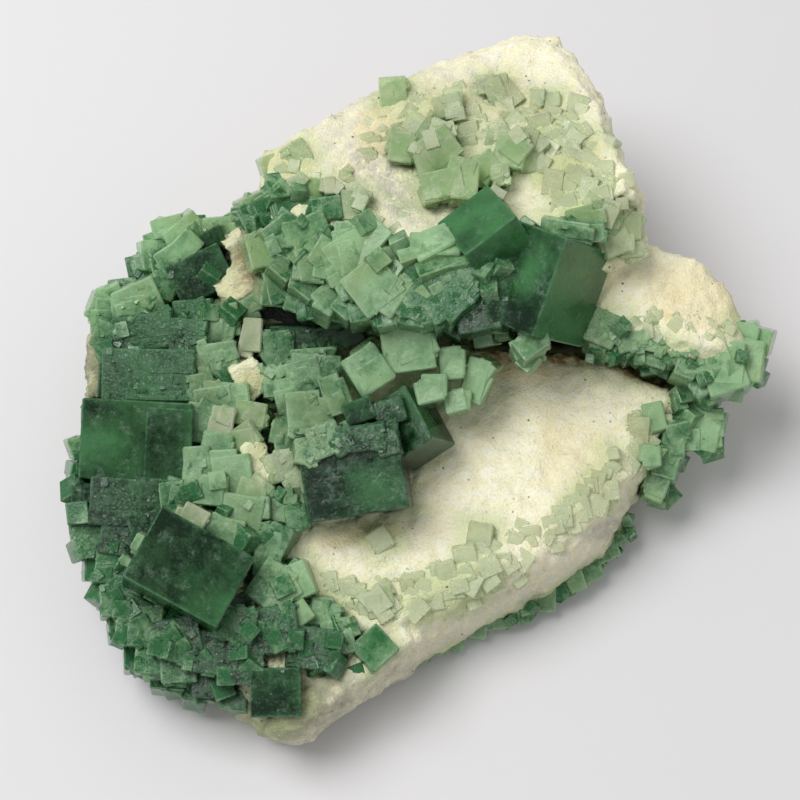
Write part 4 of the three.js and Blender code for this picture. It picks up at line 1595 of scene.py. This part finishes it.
def upper_crusts() -> list[Crust]:
    """The crystals of the raised plate's front."""
    nodes = ("upper_cluster",)
    deep = Crust(
        "upper_dark_crystals", nodes, "dark_fluorite", Grade.DEEP, seed=7,
        cubes=(
            # The two largest dark cubes, each with a painted glow; the first also has its right and outer
            # faces painted lighter as painted light.
            Cube(35, 21.2, 48, 21, 20, 13, 33, 52, -32, 0.74, 0, 0, PaintedGlow(0, -1, 0.1, 0.2), (0.6, 0.0, 0.5)),
            Cube(15.2, 36.2, 59, 12.4, 12.4, 11, -39, -26, 28, 0.75, 0, 0, PaintedGlow(2, 1, -0.8, 0.6)),
            Cube(19, 29.6, 55.4, 9.6, 8.4, 12, -14, 4, 10, 0.3, 0, 3),
            Cube(15.4, 18, 50, 8.6, 8.2, 11, -6, -6, 10, 0.25, 0, 6),
            Cube(20.6, 21, 52, 7, 10, 12, 2, 6, 8, 0.3, 0, 12),
            Cube(10.6, 15.6, 46, 6, 5, 9, -8, 0, -30, -0.1),
        ),
    )
    green = Crust(
        "upper_green_crystals", nodes, "dark_fluorite", Grade.GREEN, seed=8, twins=2,
        cubes=(
            # The shield of pale green plates.
            Cube(-5.4, 23, 53.8, 9.4, 9.4, 12, -5, 2, 38, 0.91, 0, 2),
            Cube(-8.6, 29.6, 54.4, 11, 9, 12, -2, 2, 34, 0.77, 0, 4),
            Cube(-10.6, 24.4, 52.4, 6, 7.4, 11, -6, 4, 30, 0.74),
            Cube(-1.2, 27, 54, 5, 8, 11, -3, -3, 18, 1),
            Cube(-0.6, 21, 52.4, 5, 6, 10, -6, -2, 30, 0.59),
            Cube(-10, 32.2, 55, 6.2, 7, 10, 0, 0, 0, 0.52, 0, 3),
            Cube(-22.6, 32.6, 52.6, 7, 8.4, 12, -2, 8, 38, 0.15, 0, 2),
            Cube(-18, 33.4, 54, 8, 7, 12, 0, 4, 24, 0.37, 0, 4),
            Cube(-17, 27.6, 52.4, 7, 6.4, 11, -4, 4, 12, 0.55),
            Cube(-21.6, 27.6, 50, 6, 5.4, 11, -6, 8, -20, 0.24),
            Cube(-14, 28, 53.4, 6, 7.4, 11, -3, 3, -8, 0.76),
            # Its lower edge.
            Cube(-19, 22.8, 49, 5.4, 3.6, 9, -10, 6, -38, 0.38),
            Cube(-14.6, 21, 49.4, 5, 4.4, 9, -10, 4, 40, 0.59),
            Cube(-11, 18.8, 49.6, 4.6, 4, 9, -10, 2, -40, 0.57),
            Cube(-8, 17.4, 50, 4.4, 3.2, 9, -12, 0, 10, 0.49),
            Cube(-3, 16.8, 50.4, 5, 3.6, 9, -12, 0, 8, 0.36),
            Cube(2.6, 17, 50.6, 5.4, 4, 9, -12, 0, -10, 0.22),
            # Its upper left.
            Cube(-22, 39.6, 52.4, 7.4, 8.4, 10, 4, 6, 16, 0.18, 0, 8),
            Cube(-26, 38.6, 50, 6, 6, 8, 4, 10, 30, 0.08, 0, 6),
            Cube(-29, 36.8, 48, 6, 5.4, 8, 4, 12, 28, 0.03, 0, 10),
            Cube(-14.6, 38.4, 54.6, 6, 4.6, 8, 2, 2, 8, 0.26, 0, 3),
            # The blue-green crystals right of it.
            Cube(4, 24, 53.4, 8, 8, 11, -4, -2, 22, -0.03, 0, 8),
            Cube(10, 24.4, 54, 8.4, 7.4, 11, -6, -6, -14, -0.22, 0, 8),
            Cube(2.6, 19.4, 52, 7, 6, 10, -8, 0, -20, -0.16, 0, 5),
            Cube(9, 19.6, 52.6, 8, 6, 10, -10, -4, 30, -0.27, 0, 6),
            Cube(12.8, 22, 53, 5, 5, 10, -6, -10, 44, -0.36),
            Cube(7.4, 17.2, 51, 7, 2.4, 9, -20, 0, 16, 0.45),
            # The long slabs; the first has a painted glow in it.
            Cube(4.6, 31.6, 57, 11, 5, 9, -24, -8, 20, 0.8, 0, 0, PaintedGlow(side=-0.3, end=0.6)),
            Cube(8.4, 28, 55.8, 10.6, 3.6, 9, -30, -6, 20, 0.4),
            # Over and under the large dark cube.
            Cube(33, 34.2, 55.6, 9.6, 3.4, 8, 10, -6, -8, 0.5, 0, 4),
            Cube(38.4, 33.4, 54, 5, 3.6, 8, 8, -8, 6, 0.6),
            Cube(26.2, 11.4, 47.6, 6, 4.6, 9, -14, 2, 36, 0.6),
            Cube(24.6, 34.6, 56, 3, 4.4, 8, -10, -10, -40, 0.6),
        ),
        runs=(
            Run(
                (
                    (-27, 24, 44), (-18, 21, 44), (-9, 18, 44), (0, 18, 45), (9, 17, 45),
                    (18, 16.4, 45), (27, 16, 45),
                ),
                count=9, size=(6, 7.4), depth=9, tilt=(14, 8, 40), seed=71, tone=(0.0, 0.5),
            ),
        ),
        patches=(
            Patch(
                ((-24, 32), (-14, 28), (-2, 24), (10, 22)),
                reach=3.5, count=26, size=(1.6, 3.6), seed=701, tone=(0.5, 0.8), tilt=10.0,
            ),
        ),
        mantles=(Mantle(("upper_cluster",), count=130, size=(2.2, 4.4), seed=702, tone=(0.1, 0.7)),),
    )
    return [deep, green]


SINGLES: dict[str, Cube] = {
    "back_edge_crystal": Cube(-1.4, 61.6, 51.8, 5.6, 6.4, 8, 8, 0, 4, 0.35, 0, 4),
    "back_small_crystal": Cube(9.6, 59, 54.2, 5.8, 4.6, 6, 4, 0, 16, 0.6),
    "back_yellow_crystal": Cube(19.6, 62.6, 52.8, 4.8, 5.4, 6, 4, 0, 9, 0.8),
    "peak_crystal": Cube(29.8, 60.2, 52.8, 4.8, 3.2, 6, 2, 0, 4, 0.8),
    "left_lip_crystal": Cube(-28, 30.2, 47.5, 5, 7.2, 9, -4, 10, 15, -0.6, 0, 4),
    "left_end_crystal": Cube(-28.4, 38, 48, 6, 6.6, 8, 4, 14, 25, -0.2, 0, 8),
    "left_edge_crystal": Cube(-25.8, 47, 48, 4, 4.4, 7, 4, 10, 18, 0.4),
    "plate_left_crystal": Cube(-17.4, 42.4, 53, 4.4, 4.2, 6, 4, 2, -2, 0.0),
    "plate_middle_crystal": Cube(-9.4, 39, 54.4, 5, 6, 6, 2, 0, -3, 0.5),
    "left_yellow_crystal": Cube(-20.6, 49, 52.3, 5.4, 5.4, 7, 8, 4, 32, 0.5, 0, 10),
    # A painted reflection: a small cube toned past the lightest to stand for a white glint.
    "white_crystal": Cube(-14, 43, 55.6, 2.4, 3.6, 6, -4, 2, 4, 2.0),
    "field_crystal": Cube(16, -27, 25.4, 5, 4.6, 6, 2, -2, -9, 1.3),
    "field_left_crystal": Cube(-4, -28, 25.8, 4.4, 4.6, 6, 2, 3, 34, 1.0),
    "field_white_crystal": Cube(42.8, -10.8, 26, 2.4, 2.4, 5, 4, -3, 8, 2.0),
    "lower_field_crystal": Cube(-4, -40.6, 24.2, 5.8, 5.8, 7, -2, 0, 14, 0.6),
    "right_edge_crystal": Cube(40.4, 51, 53, 4.6, 5, 8, 0, -14, -24, 0.9),
}


def pale_crusts() -> list[Crust]:
    """The crystals of the plate's top, its right corner and those that stand by themselves."""
    singles = [
        Crust(name + "_cube", (name,), "pale_fluorite", Grade.PALE, (cube,), seed=20 + number)
        for number, (name, cube) in enumerate(SINGLES.items())
    ]
    return [
        Crust(
            "summit_crystals_pale", ("summit_crystals",), "pale_fluorite", Grade.PALE, seed=9, twins=2,
            cubes=(
                Cube(22.2, 50.4, 57, 6.4, 7.6, 9, -6, -4, -12, 0.1),
                Cube(5.4, 52.4, 56, 8, 6, 8, 3, 3, -12, 0.2),
                Cube(7, 48.4, 56.8, 8, 8, 8, 3, 3, 18, 0.25),
                Cube(8.6, 43.4, 57.4, 8.4, 5.6, 8, -4, 0, 12, 0.25),
                Cube(12, 45.2, 57.6, 5.6, 7, 8, -4, 0, -16, 0.2),
                Cube(17, 47, 56, 5.6, 4.6, 7, 3, 0, 38, 0.5),
                Cube(20.2, 45.2, 57, 3.6, 4.2, 7, 3, 0, 8, 0.6, 0, 6),
                Cube(26.6, 49.6, 55, 4.6, 7.6, 7, 3, 6, 4, 0.5),
                Cube(0.4, 50.6, 55.6, 5, 6, 7, 3, 3, -8, 0.4),
                Cube(19.8, 41.6, 58, 3.2, 2, 6, -8, 6, -30, 2.0),
            ),
        ),
        Crust(
            "shoulder_crystals_pale", ("shoulder_crystals",), "pale_fluorite", Grade.PALE, seed=10, twins=2,
            cubes=(
                Cube(41.6, 37, 53, 6, 5.4, 11, 8, 14, -8, 0.3),
                Cube(45.6, 35, 50, 6.6, 5.6, 10, 6, 20, -4, 0.6),
                Cube(43.6, 31.6, 49.5, 6, 5, 10, -4, 12, 22, 0.6),
                Cube(46.6, 30.6, 47, 5, 4, 9, -4, 16, 4, 0.7),
                Cube(37.4, 36.2, 54.4, 6, 3.6, 8, 6, 6, -6, 0.1),
            ),
        ),
        Crust(
            "rock_pale_crystals", ("matrix",), "pale_fluorite", Grade.PALE, seed=16,
            patches=(
                Patch(
                    ((-14, -40), (0, -39), (14, -36), (24, -31)),
                    reach=3.6, count=60, size=(2.4, 5.0), seed=1501, tone=(1.1, 1.6), sunk=0.98, tilt=6.0,
                ),
                Patch(
                    ((24, -31), (38, -20), (47, -11), (51, -3)),
                    reach=3.0, count=54, size=(2.2, 4.4), seed=1502, tone=(1.1, 1.6), sunk=0.98, tilt=6.0,
                ),
                Patch(
                    ((-24, 47), (-14, 44), (-6, 40), (-2, 36)),
                    reach=4.0, count=30, size=(2.0, 3.6), seed=1503, tone=(0.9, 1.5), sunk=0.97,
                ),
                Patch(
                    ((-6, 54), (8, 58), (22, 57), (32, 52)),
                    reach=6.5, count=90, size=(2.2, 4.8), seed=1504, tone=(0.9, 1.5), sunk=0.97,
                ),
                Patch(
                    ((30, 56), (34, 48), (38, 42), (42, 40)),
                    reach=5.0, count=60, size=(2.0, 4.4), seed=1505, tone=(0.9, 1.5), sunk=0.97,
                ),
                Patch(
                    ((46, 16), (56, 15), (66, 13)),
                    reach=2.0, count=24, size=(2.0, 3.2), seed=1506, tone=(0.9, 1.4), sunk=0.97,
                ),
            ),
        ),
        *singles,
    ]


def fringe_crusts() -> list[Crust]:
    """The green fringes of the wing, the field's right end and the underside."""
    return [
        Crust(
            "foot_dark_crystal", ("foot_crystal",), "dark_fluorite", Grade.DEEP, seed=11,
            cubes=(Cube(-25, -58.6, 25, 9.8, 9.4, 14, -4, -2, 1, 0.2, 0, 3),),
        ),
        Crust(
            "corner_green_crystal", ("corner_crystal",), "green_fluorite", Grade.GREEN, seed=12,
            cubes=(Cube(-5, -49.6, 24, 7, 7, 8, -16, 6, 43, 0.15),),
        ),
        Crust(
            "wing_fringe_crystals", ("wing_fringe",), "green_fluorite", Grade.GREEN, seed=13, twins=2,
            cubes=(
                Cube(40.8, 14.4, 37.4, 6.4, 7, 10, -4, -4, -24, 0.55, 0, 8),
                Cube(46, 12.8, 36.4, 6.4, 5.6, 9, -4, -2, 20, 0.6, 0, 10),
                Cube(51, 12.6, 36, 6, 6, 9, -2, 0, -14, 0.7, 0, 6),
                Cube(55.6, 12.2, 35.4, 5.6, 6, 9, -2, 0, 24, 0.85),
                Cube(52.6, 9.4, 33.6, 7, 4.2, 9, -12, 0, -8, 0.3, 0, 4),
                Cube(46.6, 11.6, 34.8, 5.6, 4.2, 9, -14, 0, 34, 0.35),
                Cube(41, 12, 35.4, 6, 4.2, 9, -14, -2, -16, 0.3),
                Cube(58.8, 8.6, 34, 6.6, 7, 9, -6, -2, 4, 0.65, 0, 4),
                Cube(64.4, 7.6, 34, 9.2, 8.8, 10, -4, -6, -4, 0.85, 0, 2),
                Cube(69.6, 8, 32.6, 6.4, 8.4, 10, -4, -12, -8, 0.85),
                Cube(60.6, 4, 31, 5.6, 5, 9, -12, -4, 20, 0.35),
                Cube(66, 3.6, 30.4, 6, 3.6, 9, -14, -8, -12, 0.6),
                Cube(62.2, 1.2, 28, 4, 4, 8, -14, -4, 40, 0.4),
                Cube(72.2, 11.6, 32, 4, 5.4, 8, 4, -16, -14, 1.1),
                Cube(69.4, 13.4, 33.6, 5, 3.4, 8, 6, -10, -10, 1.1),
            ),
            patches=(
                Patch(
                    ((40, 14), (48, 11), (60, 8), (68, 6)),
                    reach=2.6, count=26, size=(1.4, 3.2), seed=1201, tone=(0.4, 0.8), tilt=10.0,
                ),
            ),
            mantles=(Mantle(("wing_fringe",), count=40, size=(1.6, 3.2), seed=1202, tone=(-0.2, 0.3)),),
        ),
        Crust(
            "right_rim_green_crystals", ("right_rim_crystals",), "green_fluorite", Grade.GREEN,
            seed=14, twins=2,
            cubes=(
                Cube(60.2, -5.8, 21.4, 8, 8.2, 12, -4, -8, -14, 0.95, 0, 2),
                Cube(57.2, -1.8, 22.4, 6, 6, 10, 0, -6, 20, 0.55),
                Cube(54.6, -8, 22, 4.4, 8, 11, -4, -6, -10, 0.7),
                Cube(53.2, -13, 19.6, 5, 5, 10, -6, -8, -16, 0.8),
                Cube(51.6, -16.6, 16.6, 4.6, 5.6, 10, -8, -8, -20, 0.7),
                Cube(51, -3.4, 24.4, 4.4, 6, 8, 0, -2, 12, 1),
                Cube(50.4, -11.4, 24, 3.8, 4, 7, 0, -4, 4, 1.1),
            ),
            mantles=(Mantle(("right_rim_crystals",), count=36, size=(2.6, 5.0), seed=1302),),
        ),
        Crust(
            "underside_green_crystals", ("underside_fringe",), "green_fluorite", Grade.GREEN, seed=15,
            runs=(
                Run(
                    (
                        (1, -50.6, 6), (8, -47, 6), (19, -42.4, 6),
                        (29.5, -38, 6.5), (38, -32, 7.5), (45, -24, 9),
                    ),
                    count=11, size=(5.4, 7), depth=8, tilt=(10, 10, 30), seed=41, tone=(0.5, 1.0),
                ),
            ),
            mantles=(Mantle(("underside_fringe",), count=50, size=(1.6, 3.2), seed=1402, tone=(-0.2, 0.5)),),
        ),
    ]


# ------------------------------------------------------------------ the matrix


@dataclass(frozen=True)
class Spot:
    """A stain round a point of the display plane.

    Attributes:
        across: Its place to the right.
        up: Its place up.
        reach: Its radius across.
        strength: How strong it is in the middle.
        long: Its radius up, or 0 for a round one.
        turn: Its turn in degrees.
    """

    across: float
    up: float
    reach: float
    strength: float
    long: float = 0.0
    turn: float = 0.0

    def at(self, across: float, up: float) -> float:
        """How strong the stain is at (across, up)."""
        angle = math.radians(self.turn)
        x, y = across - self.across, up - self.up
        side = x * math.cos(angle) + y * math.sin(angle)
        end = y * math.cos(angle) - x * math.sin(angle)
        away = math.hypot(side / self.reach, end / (self.long or self.reach))
        return self.strength * (1.0 - smooth(0.4, 1.0, away))


@dataclass
class Rock:
    """The broken block of quartz that the crystals grow on.

    Attributes:
        voxel: Spacing of its fine surface.
        green: Places that are tinted green.
        yellow: Places that are tinted yellow.
        rust: Rusty places.
        grey: Places that are grey and glassy.
        earthy: Places that are broken and earthy.
        gap_shadow: Places in the gap under the plate that are painted near black, as painted shadow.
    """

    # Heights between which the gap under the plate is painted dark, as painted shadow.
    GAP_SHADOW_HEIGHTS = (12.0, 44.0)
    # The rock is a little grey and earthy below the first of these heights, and no longer above the second.
    LOW_HEIGHTS = (14.0, 21.0)
    LOW_GREY = 0.3
    LOW_EARTH = 0.1
    # A crystal's green shows in the rock round it, and fades between these distances.
    TINT = 0.6
    TINT_REACH = (0.5, 5.0)
    # Sizes of the lumps and how high they stand, then the same for the broken facets.
    LUMPS = ((6.5, 0.6), (2.4, 0.5), (1.2, 0.3))
    FACETS = (4.2, 0.9)
    # The more a side faces the eye, between these two values, the lower its facets, down to a share.
    FACING = (0.15, 0.6)
    LEAST_HACKLE = 0.4
    # Heights between which the flat base passes into the rough sides.
    BASE_HEIGHTS = (0.2, 2.0)

    voxel: float = 0.75
    green: tuple[Spot, ...] = (
        Spot(10, -38, 18, 1.0, 8, 22),
        Spot(-13, -40, 6, 0.8),
        Spot(-24, -62, 12, 0.9, 8, 24),
        Spot(38, -18, 16, 0.7, 6, 50),
        Spot(50, -8, 6, 0.6, 10),
        Spot(31, 50, 12, 1.0, 12),
        Spot(36, 40, 12, 0.9, 8, -30),
        Spot(8, 54, 14, 0.7, 12),
        Spot(-22, 46, 9, 0.7, 6, 40),
        Spot(-10, 36, 8, 0.6, 6),
        Spot(50, 12, 16, 0.7, 4, -12),
        Spot(68, 14, 6, 0.6, 8),
        Spot(-30, 30, 6, 0.5, 8),
    )
    yellow: tuple[Spot, ...] = (
        Spot(30.4, -7.8, 3.0, 0.6, 9, 8),
        Spot(54.8, 21, 3.5, 0.8, 2),
        Spot(53.4, 17, 2, 0.9),
        Spot(60, 20, 16, 0.6, 9, -20),
        Spot(-4, 54, 7, 0.7, 7),
        Spot(20, 61, 7, 0.6, 6),
        Spot(28, 57.5, 4.5, 0.9, 4),
        Spot(36, 50, 6, 0.8, 6),
        Spot(33, 46, 9, 0.7, 8),
        Spot(10, 58, 16, 0.35, 8),
        Spot(-22, 48, 8, 0.6, 5),
        Spot(36, -12, 12, 0.4, 10),
        Spot(24, 8, 5, 0.5, 2),
        Spot(19, 6, 17, 0.75, 3, -6),
        Spot(-27, -10, 5, 0.5, 5),
        Spot(-30, 3, 4, 0.6, 5),
        Spot(-33, 22, 5, 0.5),
        # Painted shadow: yellow-brown under the overhang of the large dark cube in the middle.
        Spot(-9, -27, 12, 0.7, 3, 12),
    )
    rust: tuple[Spot, ...] = (
        Spot(28, 57.5, 1.6, 1.0),
        Spot(36.2, 49.8, 1.9, 1.0),
        Spot(24.8, 47.2, 0.9, 1.0),
        Spot(44, 30.2, 2.0, 1.0),
        Spot(-29.5, 27.5, 5, 0.9, 7),
        Spot(28, 8.4, 20, 1.0, 2.2, -3),
        Spot(49, 4.6, 11, 1.0, 2.0, -20),
    )
    grey: tuple[Spot, ...] = (
        Spot(0, 44, 20, 1.0, 12, -20),
        Spot(8, 54, 40, 0.55, 20),
        Spot(41.5, -26, 7, 0.9, 3, 15),
        Spot(-10, -60, 28, 0.7, 9, 22),
        Spot(20, -42, 26, 0.35, 4, 32),
    )
    earthy: tuple[Spot, ...] = (
        Spot(-24, -62, 20, 0.75, 10, 20),
        Spot(4, -52, 20, 0.2, 5, 26),
        Spot(28, -38, 24, 0.05, 4, 38),
        Spot(-61.6, 6, 6, 1.0, 12),
        Spot(-30, 28, 6, 0.5, 10),
        Spot(-30, 3, 4, 0.2, 6),
    )
    # Painted shadow in the gap under the plate and the wing.
    gap_shadow: tuple[Spot, ...] = (
        Spot(26, 12.2, 24, 1.0, 3.0, -2),
        Spot(46, 9, 13, 1.0, 3.0, -16),
        Spot(58, 3, 7, 1.0, 3.0, -34),
    )

    def build(self, node: bpy.types.Object, crystals: BVHTree) -> bpy.types.Object:
        """Makes the fine surface of the rock.

        Args:
            node: The rock's solid.
            crystals: The crystals' surfaces, in millimetres.

        Returns:
            The piece.
        """
        rough = bmesh.new()
        rough.from_mesh(node.data)
        bmesh.ops.remove_doubles(rough, verts=rough.verts, dist=MM * 0.001)
        mesh = bpy.data.meshes.new("rock")
        rough.to_mesh(mesh)
        rough.free()
        piece = show("quartz_matrix", mesh)
        remesh = piece.modifiers.new("fine", "REMESH")
        remesh.mode = "VOXEL"
        remesh.voxel_size = self.voxel * MM
        fine = read_back(piece)
        piece.modifiers.clear()
        piece.data = fine
        self.weather(fine)
        self.stain(fine, crystals)
        for polygon in fine.polygons:
            polygon.use_smooth = True
        settle(piece, Quartz().material(), "matrix", ("matrix",))
        return piece

    def weather(self, mesh: bpy.types.Mesh) -> None:
        """Breaks the surface into lumps, facets and sugary grains.

        Args:
            mesh: The rock's fine mesh, in metres.
        """
        facet_size, facet_height = self.FACETS
        moved = []
        for vertex in mesh.vertices:
            at = vertex.co / MM
            normal = vertex.normal.copy()
            hackle = max(1.0 - smooth(*self.FACING, normal.dot(EYE.out)), self.LEAST_HACKLE)
            cell = noise.voronoi(at / facet_size)[1][0]
            tilt = noise.cell_vector(cell * 7.3) * 2.0 - Vector((1.0, 1.0, 1.0))
            lift = sum(height * noise.noise(at / size) for size, height in self.LUMPS)
            lift += facet_height * (at / facet_size - cell).dot(tilt) * hackle
            lift *= smooth(*self.BASE_HEIGHTS, at.z)
            moved.append(at + normal * lift)
        for vertex, at in zip(mesh.vertices, moved):
            vertex.co = Vector((at.x, at.y, max(at.z, 0.0))) * MM
        mesh.update()

    def stain(self, mesh: bpy.types.Mesh, crystals: BVHTree) -> None:
        """Paints the stains, the wear and the painted shadow of the gap, which the rock's finish reads.

        Args:
            mesh: The rock's fine mesh, in metres.
            crystals: The crystals' surfaces, in millimetres.
        """
        stains = mesh.color_attributes.new("stains", "FLOAT_COLOR", "POINT")
        wear_and_gap_shadow = mesh.color_attributes.new("wear_and_gap_shadow", "FLOAT_COLOR", "POINT")
        for index, vertex in enumerate(mesh.vertices):
            at = vertex.co / MM
            shown = EYE.shows(at)
            green, yellow, rust, grey, earthy, gap_shadow = (
                max(spot.at(*shown) for spot in spots)
                for spots in (self.green, self.yellow, self.rust, self.grey, self.earthy, self.gap_shadow)
            )
            near = crystals.find_nearest(at, self.TINT_REACH[1])[3]
            tint = 0.0 if near is None else self.TINT * (1.0 - smooth(*self.TINT_REACH, near))
            low = 1.0 - smooth(*self.LOW_HEIGHTS, at.z)
            # The painted shadow is kept to the heights of the gap.
            if not self.GAP_SHADOW_HEIGHTS[0] < at.z < self.GAP_SHADOW_HEIGHTS[1]:
                gap_shadow = 0.0
            stains.data[index].color = (max(tint, green), yellow, rust, 1.0)
            grey = max(grey, low * self.LOW_GREY)
            earthy = max(earthy, low * self.LOW_EARTH)
            wear_and_gap_shadow.data[index].color = (grey, earthy, gap_shadow, 1.0)


# ------------------------------------------------------------------ studio


@dataclass(frozen=True)
class Studio:
    """The plain pale floor, the soft lights and the camera.

    Attributes:
        floor: Side of the floor, in metres.
        paper: Colour of the floor.
        sky: Strength of the soft light from all round.
        key: Power of the large light above, in watts.
        key_place: Where it hangs, in metres.
        key_side: Its side, in metres.
        lens: Focal length of the camera, in millimetres.
    """

    floor: float = 4.0
    paper: Colour = (0.67, 0.66, 0.67)
    sky: float = 0.5
    key: float = 7.0
    key_place: Triple = (-0.36, 0.08, 0.85)
    key_side: float = 0.5
    lens: float = 100.0

    def build(self) -> None:
        """Sets the studio up."""
        scene = bpy.context.scene
        scene.view_settings.view_transform = "Standard"
        scene.cycles.max_bounces = 8
        scene.cycles.transmission_bounces = 6
        scene.cycles.diffuse_bounces = 3
        scene.cycles.glossy_bounces = 3
        self.lay_floor()
        world = bpy.data.worlds.new("soft_sky")
        world.use_nodes = True
        back = world.node_tree.nodes["Background"]
        back.inputs["Color"].default_value = (1.0, 1.0, 1.0, 1.0)
        back.inputs["Strength"].default_value = self.sky
        scene.world = world
        self.hang_key_light()
        camera = bpy.data.cameras.new("camera")
        camera.lens = self.lens
        camera.clip_start = 0.01
        stand = bpy.data.objects.new("camera", camera)
        stand.matrix_world = Matrix.Translation(EYE.place * MM) @ EYE.axes.to_4x4()
        scene.collection.objects.link(stand)
        scene.camera = stand

    def lay_floor(self) -> None:
        """Lays the floor."""
        bm = bmesh.new()
        bmesh.ops.create_grid(bm, x_segments=1, y_segments=1, size=self.floor / 2)
        mesh = bpy.data.meshes.new("floor")
        bm.to_mesh(mesh)
        bm.free()
        floor = show("floor", mesh)
        shader = Shader("paper")
        paper = (*self.paper, 1.0)
        surface = shader.node("ShaderNodeBsdfPrincipled", {}, {"Base Color": paper, "Roughness": 0.9})
        mesh.materials.append(shader.finish(surface))

    def hang_key_light(self) -> None:
        """Hangs the large square light, which faces the specimen."""
        light = bpy.data.lights.new("key_light", "AREA")
        light.shape = "SQUARE"
        light.size = self.key_side
        light.energy = self.key
        lamp = bpy.data.objects.new("key_light", light)
        place = Vector(self.key_place)
        turn = (EYE.focus * MM - place).to_track_quat("-Z", "Y").to_matrix().to_4x4()
        lamp.matrix_world = Matrix.Translation(place) @ turn
        bpy.context.scene.collection.objects.link(lamp)


def clear_scene() -> None:
    """Removes whatever the scene starts with."""
    for thing in list(bpy.data.objects):
        bpy.data.objects.remove(thing)


def main() -> None:
    """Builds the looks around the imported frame."""
    logging.basicConfig(level=logging.INFO, format="%(message)s")
    clear_scene()
    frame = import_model()
    nodes = frame["nodes"]
    ground = Ground(nodes.values())
    crystals = Ground(node for name, node in nodes.items() if name != "matrix")
    pieces = [Rock().build(nodes["matrix"], crystals.tree)]
    crusts = [
        crust
        for group in (left_crusts, vein_crusts, centre_crusts, upper_crusts, pale_crusts, fringe_crusts)
        for crust in group()
    ]
    dark_crusts = [crust for crust in crusts if crust.grade is Grade.DEEP]
    ground.bare = [cube for crust in dark_crusts for cube in crust.cubes if not cube.rough]
    pieces += [crust.build(ground) for crust in crusts]
    # Painted shade: each piece is darkened where it is shut in by its neighbours.
    recess_shade = RecessShade(pieces)
    for piece in pieces:
        recess_shade.paint(piece)
    Studio().build()


if __name__ == "__main__":
    main()
